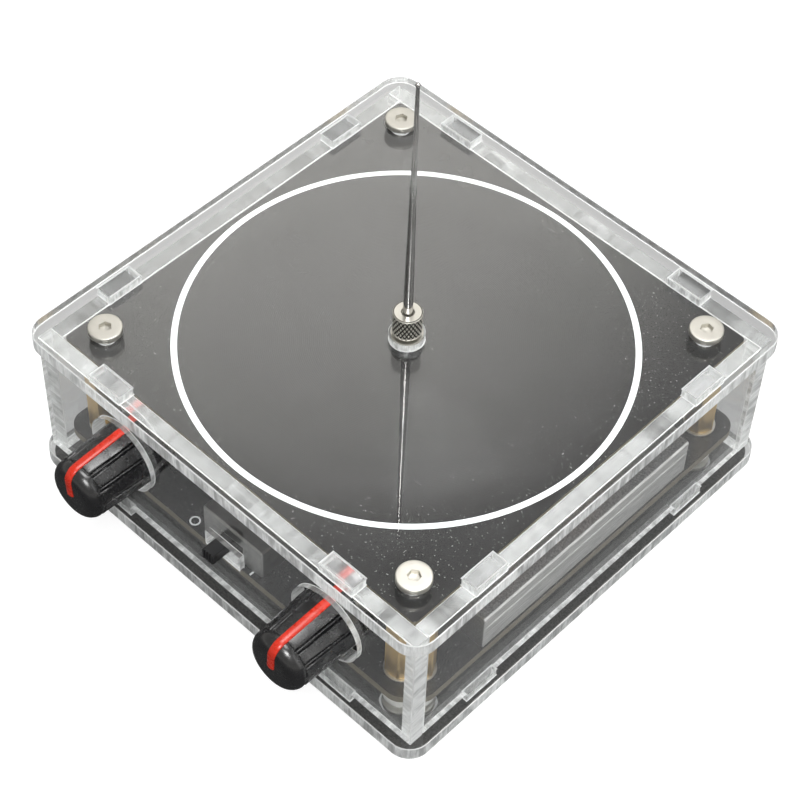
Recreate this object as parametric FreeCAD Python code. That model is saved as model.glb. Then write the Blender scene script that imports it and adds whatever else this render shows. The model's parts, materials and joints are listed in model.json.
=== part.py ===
import FreeCAD, Part
import math
import os

# Desktop resonant transformer: a clear acrylic box that holds a driver board and, under its top plate, a
# coil board. A steel needle stands on the coil board's post and is clamped by a knurled thumb nut.
# Millimetres, +Z up, origin in the middle of the face it stands on, front (knobs and switch) towards -Y.

Vector = FreeCAD.Vector
X_AXIS, Y_AXIS, Z_AXIS = Vector(1, 0, 0), Vector(0, 1, 0), Vector(0, 0, 1)

# ---- driving dimensions: case ------------------------------------------------------------------------

plate_side = 92.0            # outline of the top and bottom plates
plate_corner = 4.2
sheet = 3.0                  # acrylic sheet of the plates and walls
wall_outer = 44.2            # from the centre to a wall's outer face
tab_centre = 27.0            # tabs of the walls, either side of the middle
tab_width = 7.0
slot_gap = 0.1               # clearance of a tab in its slot
pad_height = 1.5             # foam pad under the bottom plate
pad_inset = 1.0
pad_hole_margin = 0.5        # round a screw head

# ---- driving dimensions: stack of boards and fasteners -----------------------------------------------

spacer_height = 6.0          # nylon, under the driver board
board_height = 1.6
washer_height = 0.3
standoff_height = 18.0       # brass, between the boards
board_half = 41.0
driver_board_corner = 3.3
coil_board_corner = 0.8      # cut nearly square
screw_pitch_half = 36.0      # fasteners from the centre, both ways
screw_radius = 1.5
screw_hole = 1.7
thread_clearance = 0.05
thread_engaged = 4.0
head_radius = 3.0
head_height = 1.1
head_edge = 0.3
socket_flats = 2.0
socket_depth = 0.8
standoff_flats = 5.0
fastener_ring = 2.95         # outer radius of the spacers and washers

# ---- driving dimensions: coil board and needle -------------------------------------------------------

ring_radius = 39.5           # white printed ring
ring_width = 1.1
print_height = 0.1           # of everything printed or etched on a board
winding_inner, winding_outer = 8.0, 37.6
primary_inner, primary_outer = 33.0, 36.5
primary_gap = 3.0            # between the two ends of the single-turn loop
centre_hole = 3.05           # in the top plate
post_radius = 1.5            # threaded post of the needle
post_foot_radius = 2.8
foot_recess = 0.1            # of the foot below the top face
nut_radius = 2.5
nut_height = 4.9
nut_gap = 0.2                # above the top plate
nut_edge = 0.25
post_in_nut = 2.6
collar_radius = 1.45
collar_height = 0.7
throat_clearance = 0.08
needle_tip_z = 91.8
needle_base_radius = 0.88
needle_end_radius = 0.3
ball_radius = 0.42

# ---- driving dimensions: knobs and potentiometers ----------------------------------------------------

knob_x = 24.1                # knob axes, either side of the middle
knob_above_deck = 6.5
knob_end_y = -55.85
knob_length = 17.4
knob_front_radius = 5.52
knob_back_radius = 6.13      # of the straight skirt behind the taper
knob_skirt_y = -44.2
knob_round = 2.4
knob_sectors = 12            # one holds the pointer, the others a groove
knob_tilts = {"left": 4.0, "right": -3.5}       # degrees from 12 o'clock
groove_radius = 0.55
groove_outset = 0.22         # of a groove's axis from the knob's surface
groove_start = 0.6           # behind the rounded end
pointer_half = 0.8
pointer_proud = 0.25
pointer_depth = 0.9
pointer_inner_end = 0.3      # from the knob's axis
knob_hole_x = 24.45
knob_hole_z = 18.8
knob_hole_radius = 7.4
shaft_radius = 3.0
shaft_flat = 1.5             # from the axis to the flat of the D-shaped end
shaft_clearance = 0.03
bore_floor = 4.0             # from the knob's end face to the end of its bore
pot_front_y = -34.4
pot_depth = 7.5
pot_half_width = 4.9
pot_above_axis = 6.0
pot_foot = 0.6
bracket_sheet = 0.8
bushing_radius = 3.5
bushing_end_y = -38.0
rotor_clearance = 0.3
rotor_depth = 3.0

# ---- driving dimensions: slide switch ----------------------------------------------------------------

switch_x = 0.5               # middle of the switch
switch_front_y = -40.0
shell_half = 7.15
shell_depth = 6.4
shell_height = 7.1
shell_sheet = 0.4
shell_edge = 0.35
lever_travel = 2.0
lever_z = 15.3
lever_width = 2.6
lever_height = 2.3
lever_front_y = -46.8
lever_edge = 0.15
lever_clearance = 0.3
carriage_half = 2.6
rib_gap_width = 0.24         # three grooves across the lever's end
rib_gap_depth = 0.35
slot_half = 4.1              # opening of the front wall for the lever
slot_low, slot_high = 13.7, 17.3

# ---- driving dimensions: heat sink and power transistors ---------------------------------------------

sink_length = 52.0
sink_outer_x = 40.8
sink_width = 9.8
sink_height = 8.0
sink_edge = 0.5
sink_thread_depth = 6.0
pad_sheet = 0.3
pad_margin = 0.3
tab_sheet = 1.3              # metal tab of a transistor
tab_height = 15.3
tab_hole_radius = 1.8
tab_hole_from_top = 2.9
transistor_y = 11.0
transistor_half = 5.0
transistor_above_deck = 2.0
package_height = 9.2
package_depth = 3.2
package_edge = 0.3
strap_sheet = 0.8
strap_half_height = 2.2
clamp_above_deck = 5.4
clamp_screw_length = 9.0
clamp_head_radius = 2.6
clamp_head_height = 1.8

# ---- driving dimensions: sockets in the back ---------------------------------------------------------

jack_x = -22.0
jack_above_deck = 6.5
jack_depth = 13.8
jack_half = 4.5
jack_height = 11.0
jack_edge = 0.3
jack_gap = 0.2               # from the back wall
barrel_radius = 3.15
barrel_depth = 9.5
contact_radius = 1.0
contact_recess = 0.8
audio_x = 0.0
audio_above_deck = 3.0
audio_half = 3.3
audio_depth = 12.0
audio_height = 6.2
audio_bore = 1.8
audio_end_wall = 1.0
nose_radius = 2.9
nose_length = 2.2
power_hole_radius = 4.6
audio_hole_radius = 4.2

# ---- driving dimensions: parts on the driver board ---------------------------------------------------

can_radius, can_height = 5.0, 15.0
can_places = [(-31.0, 17.0), (-19.5, 17.0)]
film_x, film_y = 8.0, 20.0
film_length, film_width, film_height = 13.0, 6.0, 11.0
choke_x, choke_y = -20.0, -8.0
core_radius, core_section = 6.5, 2.6
wire_radius = 0.35
wire_gap = 0.15
choke_turns = 24
module_x, module_y = 0.0, -21.0
module_length, module_width, module_sheet = 22.0, 14.0, 1.0
shield_margin = 1.5
shield_length, shield_width, shield_height = 12.0, 10.0, 2.0
crystal_x, crystal_y = 16.0, -14.0
crystal_length, crystal_width, crystal_height = 10.8, 4.6, 3.4
chip_width, chip_length, chip_height = 3.9, 4.9, 1.4
chip_places = [(14.0, 8.0), (14.0, 0.0), (-7.0, -6.0), (-36.0, -2.0)]
chip_pin_pitch, chip_pin_reach, chip_pin_width, chip_pin_height = 1.27, 1.0, 0.4, 0.5
small_length, small_width, small_height, small_pitch = 1.6, 0.8, 0.5, 2.0
small_rows = [(21.0, 0.0, 6), (-12.0, 5.0, 5), (-36.0, -14.0, 4), (8.0, 8.0, 4)]     # x, first y, how many
lamp_radius, lamp_barrel = 1.5, 3.0
lamp_places = [(14.0, 36.0), (20.0, 36.0)]
link_x, link_y = -2.0, 5.0
link_pitch, link_count = 2.54, 4
stand_off = 0.2              # of a part's body above the board
body_edge = 0.3
lead_radius = 0.4
lead_below = 1.2
solder_radius, solder_height = 0.9, 0.7

# ---- levels and places worked out from them ----------------------------------------------------------

plate_half = plate_side / 2
wall_inner = wall_outer - sheet
bottom_z = pad_height
floor_z = bottom_z + sheet
board_z = floor_z + spacer_height                     # underside of the driver board
deck_z = board_z + board_height                       # top of the driver board
coil_z = deck_z + washer_height + standoff_height     # underside of the coil board
ceiling_z = coil_z + board_height                     # underside of the top plate
top_z = ceiling_z + sheet
corners = [(sx * screw_pitch_half, sy * screw_pitch_half) for sx in (-1, 1) for sy in (-1, 1)]
knob_z = deck_z + knob_above_deck
jack_z = deck_z + jack_above_deck
audio_z = deck_z + audio_above_deck
jack_face_y = wall_inner - jack_gap

os.makedirs("parts", exist_ok=True)


# ---- helpers -----------------------------------------------------------------------------------------

def box(x0, x1, y0, y1, z0, z1):
    """A block between two corners."""
    return Part.makeBox(x1 - x0, y1 - y0, z1 - z0, Vector(x0, y0, z0))


def block(x, y, z, length_x, length_y, height):
    """A block centred on a place and standing on a level."""
    return box(x - length_x / 2, x + length_x / 2, y - length_y / 2, y + length_y / 2, z, z + height)


def rod(radius, length, x, y, z, axis=Z_AXIS):
    """A cylinder that starts at a point and runs along an axis."""
    return Part.makeCylinder(radius, length, Vector(x, y, z), axis)


def tube(outer, inner, length, x, y, z, axis=Z_AXIS):
    """A round sleeve."""
    return rod(outer, length, x, y, z, axis).cut(rod(inner, length, x, y, z, axis))


def prism(flats, height, z):
    """An upright hexagonal bar on the Z axis, given across its flats."""
    reach = flats / math.sqrt(3)
    points = [Vector(reach * math.cos(math.radians(60 * i)), reach * math.sin(math.radians(60 * i)), z)
              for i in range(7)]
    return Part.Face(Part.makePolygon(points)).extrude(Vector(0, 0, height))


def rounded_slab(half, radius, z0, z1):
    """A square slab about the Z axis with rounded corners."""
    slab = box(-half, half, -half, half, z0, z1)
    uprights = [edge for edge in slab.Edges if abs(edge.tangentAt(edge.FirstParameter).z) > 0.9]
    return slab.makeFillet(radius, uprights)


def softened(solid, size):
    """The solid with every edge chamfered a little."""
    return solid.makeChamfer(size, solid.Edges)


def softened_rims(solid, size):
    """A turned solid with its round rims chamfered a little."""
    return solid.makeChamfer(size, [edge for edge in solid.Edges if edge.isClosed()])


def polyline(points):
    """Straight edges through the points, in order."""
    return [Part.LineSegment(a, b).toShape() for a, b in zip(points, points[1:])]


def cut_all(solid, tools):
    """The solid with every tool cut away."""
    for tool in tools:
        solid = solid.cut(tool)
    return solid


def join(solids):
    """One solid from pieces that overlap or meet."""
    return solids[0].multiFuse(solids[1:]).removeSplitter()


def at_corners(solid):
    """Copies of a solid, made at the centre, at the four fastener places."""
    return [solid.translated(Vector(x, y, 0)) for x, y in corners]


def save(name, *solids):
    """Write one node, from one solid or a group of separate ones."""
    shape = solids[0] if len(solids) == 1 else Part.makeCompound(list(solids))
    if not shape.isValid() or min(solid.Volume for solid in shape.Solids) <= 0:
        raise ValueError(name)
    shape.exportStep("parts/" + name + ".step")


# ---- acrylic case ------------------------------------------------------------------------------------

def tab_slots(z0, z1):
    """The eight slots of a plate that the walls' tabs fill."""
    reach = tab_width / 2 + slot_gap
    near, far = wall_inner - slot_gap, wall_outer + slot_gap
    slots = []
    for middle in (-tab_centre, tab_centre):
        for low, high in ((near, far), (-far, -near)):
            slots.append(box(middle - reach, middle + reach, low, high, z0, z1))
            slots.append(box(low, high, middle - reach, middle + reach, z0, z1))
    return slots


def plate(z0):
    """A plate with slots and screw holes."""
    holes = at_corners(rod(screw_hole, sheet, 0, 0, z0))
    return cut_all(rounded_slab(plate_half, plate_corner, z0, z0 + sheet), tab_slots(z0, z0 + sheet) + holes)


def wall_across(y0, y1):
    """A wall that runs along X over the full width, with tabs up and down."""
    tabs = [box(x - tab_width / 2, x + tab_width / 2, y0, y1, bottom_z, top_z) for x in (-tab_centre, tab_centre)]
    return join([box(-wall_outer, wall_outer, y0, y1, floor_z, ceiling_z)] + tabs)


def wall_along(x0, x1):
    """A wall that runs along Y between the front and back walls."""
    tabs = [box(x0, x1, y - tab_width / 2, y + tab_width / 2, bottom_z, top_z) for y in (-tab_centre, tab_centre)]
    return join([box(x0, x1, -wall_inner, wall_inner, floor_z, ceiling_z)] + tabs)


front_openings = [rod(knob_hole_radius, sheet, x, -wall_outer, knob_hole_z, Y_AXIS)
                  for x in (-knob_hole_x, knob_hole_x)]
front_openings.append(box(switch_x - slot_half, switch_x + slot_half, -wall_outer, -wall_inner,
                          slot_low, slot_high))
back_openings = [rod(power_hole_radius, sheet, jack_x, wall_inner, jack_z, Y_AXIS),
                 rod(audio_hole_radius, sheet, audio_x, wall_inner, audio_z, Y_AXIS)]

save("top_plate", plate(ceiling_z).cut(rod(centre_hole, sheet, 0, 0, ceiling_z)))
save("bottom_plate", plate(bottom_z))
save("front_wall", cut_all(wall_across(-wall_outer, -wall_inner), front_openings))
save("back_wall", cut_all(wall_across(wall_inner, wall_outer), back_openings))
save("left_wall", wall_along(-wall_outer, -wall_inner))
save("right_wall", wall_along(wall_inner, wall_outer))

pad_holes = at_corners(rod(head_radius + pad_hole_margin, pad_height, 0, 0, 0))
save("base_pad", cut_all(rounded_slab(plate_half - pad_inset, plate_corner - pad_inset, 0, pad_height), pad_holes))


# ---- fasteners and spacers ---------------------------------------------------------------------------

def flat_head_screw(seat_z, direction, length):
    """A thin-headed socket screw on the Z axis: its shank runs up (1) or down (-1) from the seat."""
    into = Vector(0, 0, direction)
    outside_z = seat_z - direction * head_height
    head = rod(head_radius, head_height, 0, 0, seat_z, -into)
    outer_rim = [edge for edge in head.Edges if edge.isClosed() and abs(edge.CenterOfMass.z - outside_z) < 1e-6]
    head = head.makeFillet(head_edge, outer_rim)
    socket = prism(socket_flats, socket_depth, min(outside_z, outside_z + direction * socket_depth))
    shank = rod(screw_radius - thread_clearance, length, 0, 0, seat_z, into)
    return join([head, shank]).cut(socket)


top_screw_length = sheet + board_height + thread_engaged
bottom_screw_length = sheet + spacer_height + board_height + washer_height + thread_engaged
standoff_z = deck_z + washer_height
standoff_thread = rod(screw_radius, standoff_height, 0, 0, standoff_z)
standoff = prism(standoff_flats, standoff_height, standoff_z).cut(standoff_thread)

save("top_screws", *at_corners(flat_head_screw(top_z, -1, top_screw_length)))
save("bottom_screws", *at_corners(flat_head_screw(bottom_z, 1, bottom_screw_length)))
save("brass_standoffs", *at_corners(standoff))
save("foot_washers", *at_corners(tube(fastener_ring, screw_hole, washer_height, 0, 0, deck_z)))
save("nylon_spacers", *at_corners(tube(fastener_ring, screw_hole, spacer_height, 0, 0, floor_z)))


# ---- coil board --------------------------------------------------------------------------------------

def board(z0, corner):
    """A circuit board with its four corner holes."""
    holes = at_corners(rod(screw_hole, board_height, 0, 0, z0))
    return cut_all(rounded_slab(board_half, corner, z0, z0 + board_height), holes)


print_z = ceiling_z - print_height
ring_print = tube(ring_radius + ring_width / 2, ring_radius - ring_width / 2, print_height, 0, 0, print_z)
winding = tube(winding_outer, winding_inner, print_height, 0, 0, print_z)
post_hole = rod(post_radius, board_height, 0, 0, coil_z)
primary_z = coil_z - print_height
primary = tube(primary_outer, primary_inner, print_height, 0, 0, primary_z)
primary = primary.cut(box(-primary_gap / 2, primary_gap / 2, 0, primary_outer, primary_z, coil_z))

save("coil_board", cut_all(board(coil_z, coil_board_corner), [ring_print, winding, post_hole]))
save("ring_print", ring_print)
save("spiral_winding", winding)
save("primary_loop", primary)

# ---- needle, thumb nut and post ----------------------------------------------------------------------

nut_z = top_z + nut_gap
post_top = nut_z + post_in_nut
post_foot = rod(post_foot_radius, sheet - foot_recess, 0, 0, ceiling_z)
save("needle_post", join([post_foot, rod(post_radius, post_top - coil_z, 0, 0, coil_z)]))

collar_z = post_top + thread_clearance
shoulder_z = collar_z + collar_height
nut = softened_rims(rod(nut_radius, nut_height, 0, 0, nut_z), nut_edge)
nut_bore = rod(post_radius + thread_clearance, shoulder_z + thread_clearance - nut_z, 0, 0, nut_z)
throat = rod(needle_base_radius + throat_clearance, nut_height, 0, 0, nut_z)
save("thumb_nut", cut_all(nut, [nut_bore, throat]))

ball_z = needle_tip_z - ball_radius
shank = Part.makeCone(needle_base_radius, needle_end_radius, ball_z - shoulder_z, Vector(0, 0, shoulder_z))
collar = rod(collar_radius, collar_height, 0, 0, collar_z)
save("needle", join([collar, shank, Part.makeSphere(ball_radius, Vector(0, 0, ball_z))]))


# ---- knobs and potentiometers ------------------------------------------------------------------------

knob_back_y = knob_end_y + knob_length
round_end_y = knob_end_y + knob_round
shaft_end_y = knob_end_y + bore_floor


def knob_radius_at(y):
    """Radius of the knob's side at a place along it: a taper, then a straight skirt."""
    share = min(1, (y - knob_end_y) / (knob_skirt_y - knob_end_y))
    return knob_front_radius + share * (knob_back_radius - knob_front_radius)


def knob_edge(offset, inner_z):
    """Edges in the YZ plane along the knob's side and crown, at a distance outside its surface."""
    radius = knob_round + offset
    centre_z = knob_front_radius - knob_round
    diagonal = radius * math.sin(math.radians(45))
    back = Vector(0, knob_back_y, knob_back_radius + offset)
    skirt = Vector(0, knob_skirt_y, knob_back_radius + offset)
    shoulder = Vector(0, round_end_y, knob_radius_at(round_end_y) + offset)
    middle = Vector(0, round_end_y - diagonal, centre_z + diagonal)
    crown = Vector(0, knob_end_y - offset, centre_z)
    inner = Vector(0, knob_end_y - offset, inner_z)
    bend = Part.Arc(shoulder, middle, crown).toShape()
    return polyline([back, skirt, shoulder]) + [bend] + polyline([crown, inner])


def knob_blank():
    """The turned knob: tapered side, straight skirt and rounded free end."""
    edges = knob_edge(0, 0)
    axis_end, back_rim = edges[-1].Vertexes[-1].Point, edges[0].Vertexes[0].Point
    edges += polyline([axis_end, Vector(0, knob_back_y, 0), back_rim])
    return Part.Face(Part.Wire(Part.__sortEdges__(edges))).revolve(Vector(0, 0, 0), Y_AXIS, 360)


def pointer_blade():
    """The pointer insert, made at 12 o'clock: a strip let into the knob's side and crown."""
    outer, inner = knob_edge(pointer_proud, pointer_inner_end), knob_edge(-pointer_depth, pointer_inner_end)
    ends = [polyline([outer[index].Vertexes[index].Point, inner[index].Vertexes[index].Point])[0]
            for index in (0, -1)]
    strip = Part.Face(Part.Wire(Part.__sortEdges__(outer + inner + ends))).extrude(Vector(2 * pointer_half, 0, 0))
    return strip.translated(Vector(-pointer_half, 0, 0))


def knob_grooves():
    """Grooves along the taper, one in every sector but the pointer's, that run out in the skirt."""
    start_y = round_end_y + groove_start
    start_radius = knob_radius_at(start_y) + groove_outset
    end_radius = knob_back_radius + groove_outset
    grooves = []
    for index in range(1, knob_sectors):
        angle = math.radians(90 + 360 * index / knob_sectors)
        start = Vector(start_radius * math.cos(angle), start_y, start_radius * math.sin(angle))
        end = Vector(end_radius * math.cos(angle), knob_skirt_y, end_radius * math.sin(angle))
        grooves.append(Part.makeCylinder(groove_radius, (end - start).Length, start, end - start))
    return grooves


def d_rod(radius, flat, y0, y1):
    """A rod along Y on the knob's axis with a flat underneath."""
    return rod(radius, y1 - y0, 0, y0, 0, Y_AXIS).cut(box(-radius, radius, y0, y1, -radius, -flat))


def placed(solid, x, tilt):
    """A knob piece turned about its own axis and moved to its place."""
    turned = solid.rotated(Vector(0, 0, 0), -Y_AXIS, tilt)
    return turned.translated(Vector(x, 0, knob_z))


shaft_back_y = pot_front_y + rotor_depth
shaft = join([d_rod(shaft_radius, shaft_flat, shaft_end_y, knob_back_y),
              rod(shaft_radius, shaft_back_y - knob_back_y, 0, knob_back_y, 0, Y_AXIS)])
bore = d_rod(shaft_radius + shaft_clearance, shaft_flat + shaft_clearance,
             shaft_end_y - shaft_clearance, knob_back_y)
knob = cut_all(knob_blank(), knob_grooves() + [pointer_blade(), bore])
pot_back_y = pot_front_y + pot_depth
pot_top_z = knob_z + pot_above_axis

for name, x in (("left", -knob_x), ("right", knob_x)):
    save("knob_" + name, placed(knob, x, knob_tilts[name]))
    save("pointer_" + name, placed(pointer_blade(), x, knob_tilts[name]))
    save("pot_shaft_" + name, placed(shaft, x, knob_tilts[name]))
    low_x, high_x = x - pot_half_width, x + pot_half_width
    bracket = join([box(low_x, high_x, pot_front_y - bracket_sheet, pot_front_y, deck_z, pot_top_z),
                    rod(bushing_radius, pot_front_y - bushing_end_y, x, bushing_end_y, knob_z, Y_AXIS)])
    bushing_bore = rod(shaft_radius + thread_clearance, pot_depth, x, bushing_end_y, knob_z, Y_AXIS)
    save("pot_bracket_" + name, bracket.cut(bushing_bore))
    rotor_room = rod(shaft_radius + rotor_clearance, rotor_depth + rotor_clearance, x, pot_front_y, knob_z, Y_AXIS)
    body = box(low_x, high_x, pot_front_y, pot_back_y, deck_z + pot_foot, pot_top_z)
    save("pot_body_" + name, body.cut(rotor_room))

# ---- slide switch ------------------------------------------------------------------------------------

lever_x = switch_x - lever_travel / 2                 # the lever rests at the left end of its travel
shell_back_y = switch_front_y + shell_depth
room_front_y, room_back_y = switch_front_y + shell_sheet, shell_back_y - shell_sheet
room_half = shell_half - shell_sheet
room_top_z = deck_z + shell_height - shell_sheet
lever_low_z, lever_high_z = lever_z - lever_height / 2, lever_z + lever_height / 2
base_top_z = lever_low_z - lever_clearance
window_half = (lever_width + lever_travel) / 2 + lever_clearance

shell = softened(box(switch_x - shell_half, switch_x + shell_half, switch_front_y, shell_back_y,
                     deck_z, deck_z + shell_height), shell_edge)
room = box(switch_x - room_half, switch_x + room_half, room_front_y, room_back_y, deck_z, room_top_z)
window = box(switch_x - window_half, switch_x + window_half, switch_front_y, room_front_y,
             base_top_z, lever_high_z + lever_clearance)
save("switch_shell", cut_all(shell, [room, window]))
save("switch_base", box(switch_x - room_half, switch_x + room_half, room_front_y, room_back_y, deck_z, base_top_z))

stick = box(lever_x - lever_width / 2, lever_x + lever_width / 2, lever_front_y, room_back_y - lever_clearance,
            lever_low_z, lever_high_z)
carriage = box(lever_x - carriage_half, lever_x + carriage_half, room_front_y + lever_clearance,
               room_back_y - lever_clearance, lever_low_z, room_top_z - lever_clearance)
rib_gaps = [block(lever_x + step * lever_width / 4, lever_front_y, lever_low_z, rib_gap_width, 2 * rib_gap_depth,
                  lever_height) for step in (-1, 0, 1)]
save("switch_lever", cut_all(join([softened(stick, lever_edge), carriage]), rib_gaps))

# ---- heat sink and power transistors -----------------------------------------------------------------

sink_inner_x = sink_outer_x - sink_width
sink_half = sink_length / 2
sink_top_z = deck_z + sink_height
clamp_z = deck_z + clamp_above_deck
transistor_z = deck_z + transistor_above_deck
tab_x = sink_inner_x - pad_sheet - tab_sheet
package_x = tab_x - package_depth
strap_x = package_x - strap_sheet

sink = softened(box(sink_inner_x, sink_outer_x, -sink_half, sink_half, deck_z, sink_top_z), sink_edge)
save("heat_sink", sink.cut(rod(screw_radius, sink_thread_depth, sink_inner_x, 0, clamp_z, X_AXIS)))

thermal_pads, metal_tabs, packages = [], [], []
for y in (-transistor_y, transistor_y):
    low_y, high_y = y - transistor_half, y + transistor_half
    thermal_pads.append(box(tab_x + tab_sheet, sink_inner_x, low_y - pad_margin, high_y + pad_margin,
                            transistor_z, sink_top_z - sink_edge))
    metal_tab = box(tab_x, tab_x + tab_sheet, low_y, high_y, transistor_z, transistor_z + tab_height)
    hole_z = transistor_z + tab_height - tab_hole_from_top
    metal_tabs.append(metal_tab.cut(rod(tab_hole_radius, tab_sheet, tab_x, y, hole_z, X_AXIS)))
    package = box(package_x, tab_x, low_y, high_y, transistor_z, transistor_z + package_height)
    packages.append(softened(package, package_edge))
save("thermal_pads", *thermal_pads)
save("transistor_tabs", *metal_tabs)
save("transistor_packages", *packages)

strap_reach = transistor_y + transistor_half
strap = box(strap_x, package_x, -strap_reach, strap_reach,
            clamp_z - strap_half_height, clamp_z + strap_half_height)
save("clamp_strap", strap.cut(rod(screw_hole, strap_sheet, strap_x, 0, clamp_z, X_AXIS)))
clamp_head = rod(clamp_head_radius, clamp_head_height, strap_x - clamp_head_height, 0, clamp_z, X_AXIS)
clamp_shank = rod(screw_radius - thread_clearance, clamp_screw_length, strap_x, 0, clamp_z, X_AXIS)
save("clamp_screw", join([softened_rims(clamp_head, body_edge), clamp_shank]))

# ---- sockets in the back -----------------------------------------------------------------------------

jack = softened(box(jack_x - jack_half, jack_x + jack_half, jack_face_y - jack_depth, jack_face_y,
                    deck_z, deck_z + jack_height), jack_edge)
barrel_y = jack_face_y - barrel_depth
save("power_jack", jack.cut(rod(barrel_radius, barrel_depth, jack_x, barrel_y, jack_z, Y_AXIS)))
save("power_jack_pin", rod(contact_radius, barrel_depth - contact_recess, jack_x, barrel_y, jack_z, Y_AXIS))

audio_back_y = jack_face_y - audio_depth
audio_body = box(audio_x - audio_half, audio_x + audio_half, audio_back_y, jack_face_y,
                 deck_z, deck_z + audio_height)
nose = rod(nose_radius, audio_depth + nose_length, audio_x, audio_back_y, audio_z, Y_AXIS)
audio_hole = rod(audio_bore, audio_depth + nose_length - audio_end_wall, audio_x, audio_back_y + audio_end_wall,
                 audio_z, Y_AXIS)
save("audio_jack", join([audio_body, nose]).cut(audio_hole))

# ---- parts on the driver board -----------------------------------------------------------------------

part_z = deck_z + stand_off
cans = [softened_rims(rod(can_radius, can_height, x, y, part_z), body_edge) for x, y in can_places]
save("electrolytic_capacitors", *cans)
save("film_capacitor", softened(block(film_x, film_y, part_z, film_length, film_width, film_height), body_edge))
save("crystal", softened(block(crystal_x, crystal_y, part_z, crystal_width, crystal_length, crystal_height),
                         body_edge))

loop_radius = core_section + wire_gap + wire_radius
choke_z = part_z + loop_radius + wire_radius
turns = []
for index in range(choke_turns):
    angle = 2 * math.pi * index / choke_turns
    centre = Vector(choke_x + core_radius * math.cos(angle), choke_y + core_radius * math.sin(angle), choke_z)
    turns.append(Part.makeTorus(loop_radius, wire_radius, centre, Vector(-math.sin(angle), math.cos(angle), 0)))
save("choke_core", Part.makeTorus(core_radius, core_section, Vector(choke_x, choke_y, choke_z)))
save("choke_winding", *turns)

shield_x = module_x - module_length / 2 + shield_margin + shield_length / 2
shield_z = deck_z + module_sheet
save("audio_module", block(module_x, module_y, deck_z, module_length, module_width, module_sheet))
save("module_shield", softened(block(shield_x, module_y, shield_z, shield_length, shield_width, shield_height),
                               body_edge))

chips, chip_pins = [], []
for x, y in chip_places:
    chips.append(softened(block(x, y, part_z, chip_width, chip_length, chip_height), body_edge))
    for side in (-1, 1):
        pin_x = x + side * (chip_width + chip_pin_reach) / 2
        for step in range(4):
            pin_y = y + (step - 1.5) * chip_pin_pitch
            chip_pins.append(block(pin_x, pin_y, deck_z, chip_pin_reach, chip_pin_width, chip_pin_height))
save("chips", *chips)
save("chip_pins", *chip_pins)

small_parts = [block(x, y + small_pitch * step, deck_z, small_length, small_width, small_height)
               for x, y, count in small_rows for step in range(count)]
save("chip_parts", *small_parts)

lamps = [join([rod(lamp_radius, lamp_barrel, x, y, part_z),
               Part.makeSphere(lamp_radius, Vector(x, y, part_z + lamp_barrel))]) for x, y in lamp_places]
save("indicator_lamps", *lamps)

link_places = [link_x + (step - (link_count - 1) / 2) * link_pitch for step in range(link_count)]
strip = block(link_x, link_y, deck_z, link_count * link_pitch, link_pitch, link_pitch)
save("link_strip", cut_all(strip, [rod(lead_radius, link_pitch, x, link_y, deck_z) for x in link_places]))
save("link_pins", *[rod(lead_radius, coil_z - deck_z, x, link_y, deck_z) for x in link_places])

# ---- leads through the driver board ------------------------------------------------------------------

lead_tops = [(side * knob_x + offset, pot_back_y - 1.2, deck_z + pot_foot)
             for side in (-1, 1) for offset in (-2.5, 0, 2.5)]
lead_tops += [(package_x + package_depth / 2, y + offset, transistor_z)
              for y in (-transistor_y, transistor_y) for offset in (-2.54, 0, 2.54)]
lead_tops += [(x, y + offset, part_z) for x, y in can_places for offset in (-2.5, 2.5)]
lead_tops += [(film_x + offset, film_y, part_z) for offset in (-5.0, 5.0)]
lead_tops += [(crystal_x, crystal_y + offset, part_z) for offset in (-2.4, 2.4)]
lead_tops += [(x + offset, y, part_z) for x, y in lamp_places for offset in (-0.9, 0.9)]

leads, drill_holes = [], []
for x, y, z in lead_tops:
    solder = Part.makeCone(solder_radius, lead_radius, solder_height, Vector(x, y, board_z), -Z_AXIS)
    leads.append(join([rod(lead_radius, z - board_z + lead_below, x, y, board_z - lead_below), solder]))
    drill_holes.append(rod(lead_radius, board_height, x, y, board_z))
save("soldered_leads", *leads)
save("driver_board", cut_all(board(board_z, driver_board_corner), drill_holes))
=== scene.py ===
import json
import math

import bmesh
import bpy
import numpy as np
from bpy.props import FloatProperty, FloatVectorProperty, IntProperty, PointerProperty
from mathutils import Matrix, Vector
from mathutils.geometry import delaunay_2d_cdt


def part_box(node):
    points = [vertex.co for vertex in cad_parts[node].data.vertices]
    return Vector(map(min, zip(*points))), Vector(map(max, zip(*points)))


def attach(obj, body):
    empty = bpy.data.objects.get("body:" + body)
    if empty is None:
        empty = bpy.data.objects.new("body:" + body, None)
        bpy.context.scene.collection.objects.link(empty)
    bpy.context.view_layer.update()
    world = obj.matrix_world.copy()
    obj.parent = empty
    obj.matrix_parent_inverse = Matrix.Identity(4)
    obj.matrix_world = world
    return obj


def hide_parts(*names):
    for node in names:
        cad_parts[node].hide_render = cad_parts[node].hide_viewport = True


bl_info = {
    "name": "Desktop resonant transformer",
    "version": (1, 0, 0),
    "blender": (4, 5, 0),
    "location": "View3D > Sidebar > Transformer",
    "description": "Builds the clear-cased resonant transformer piece by piece round its CAD frame",
    "category": "Mesh",
}

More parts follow.
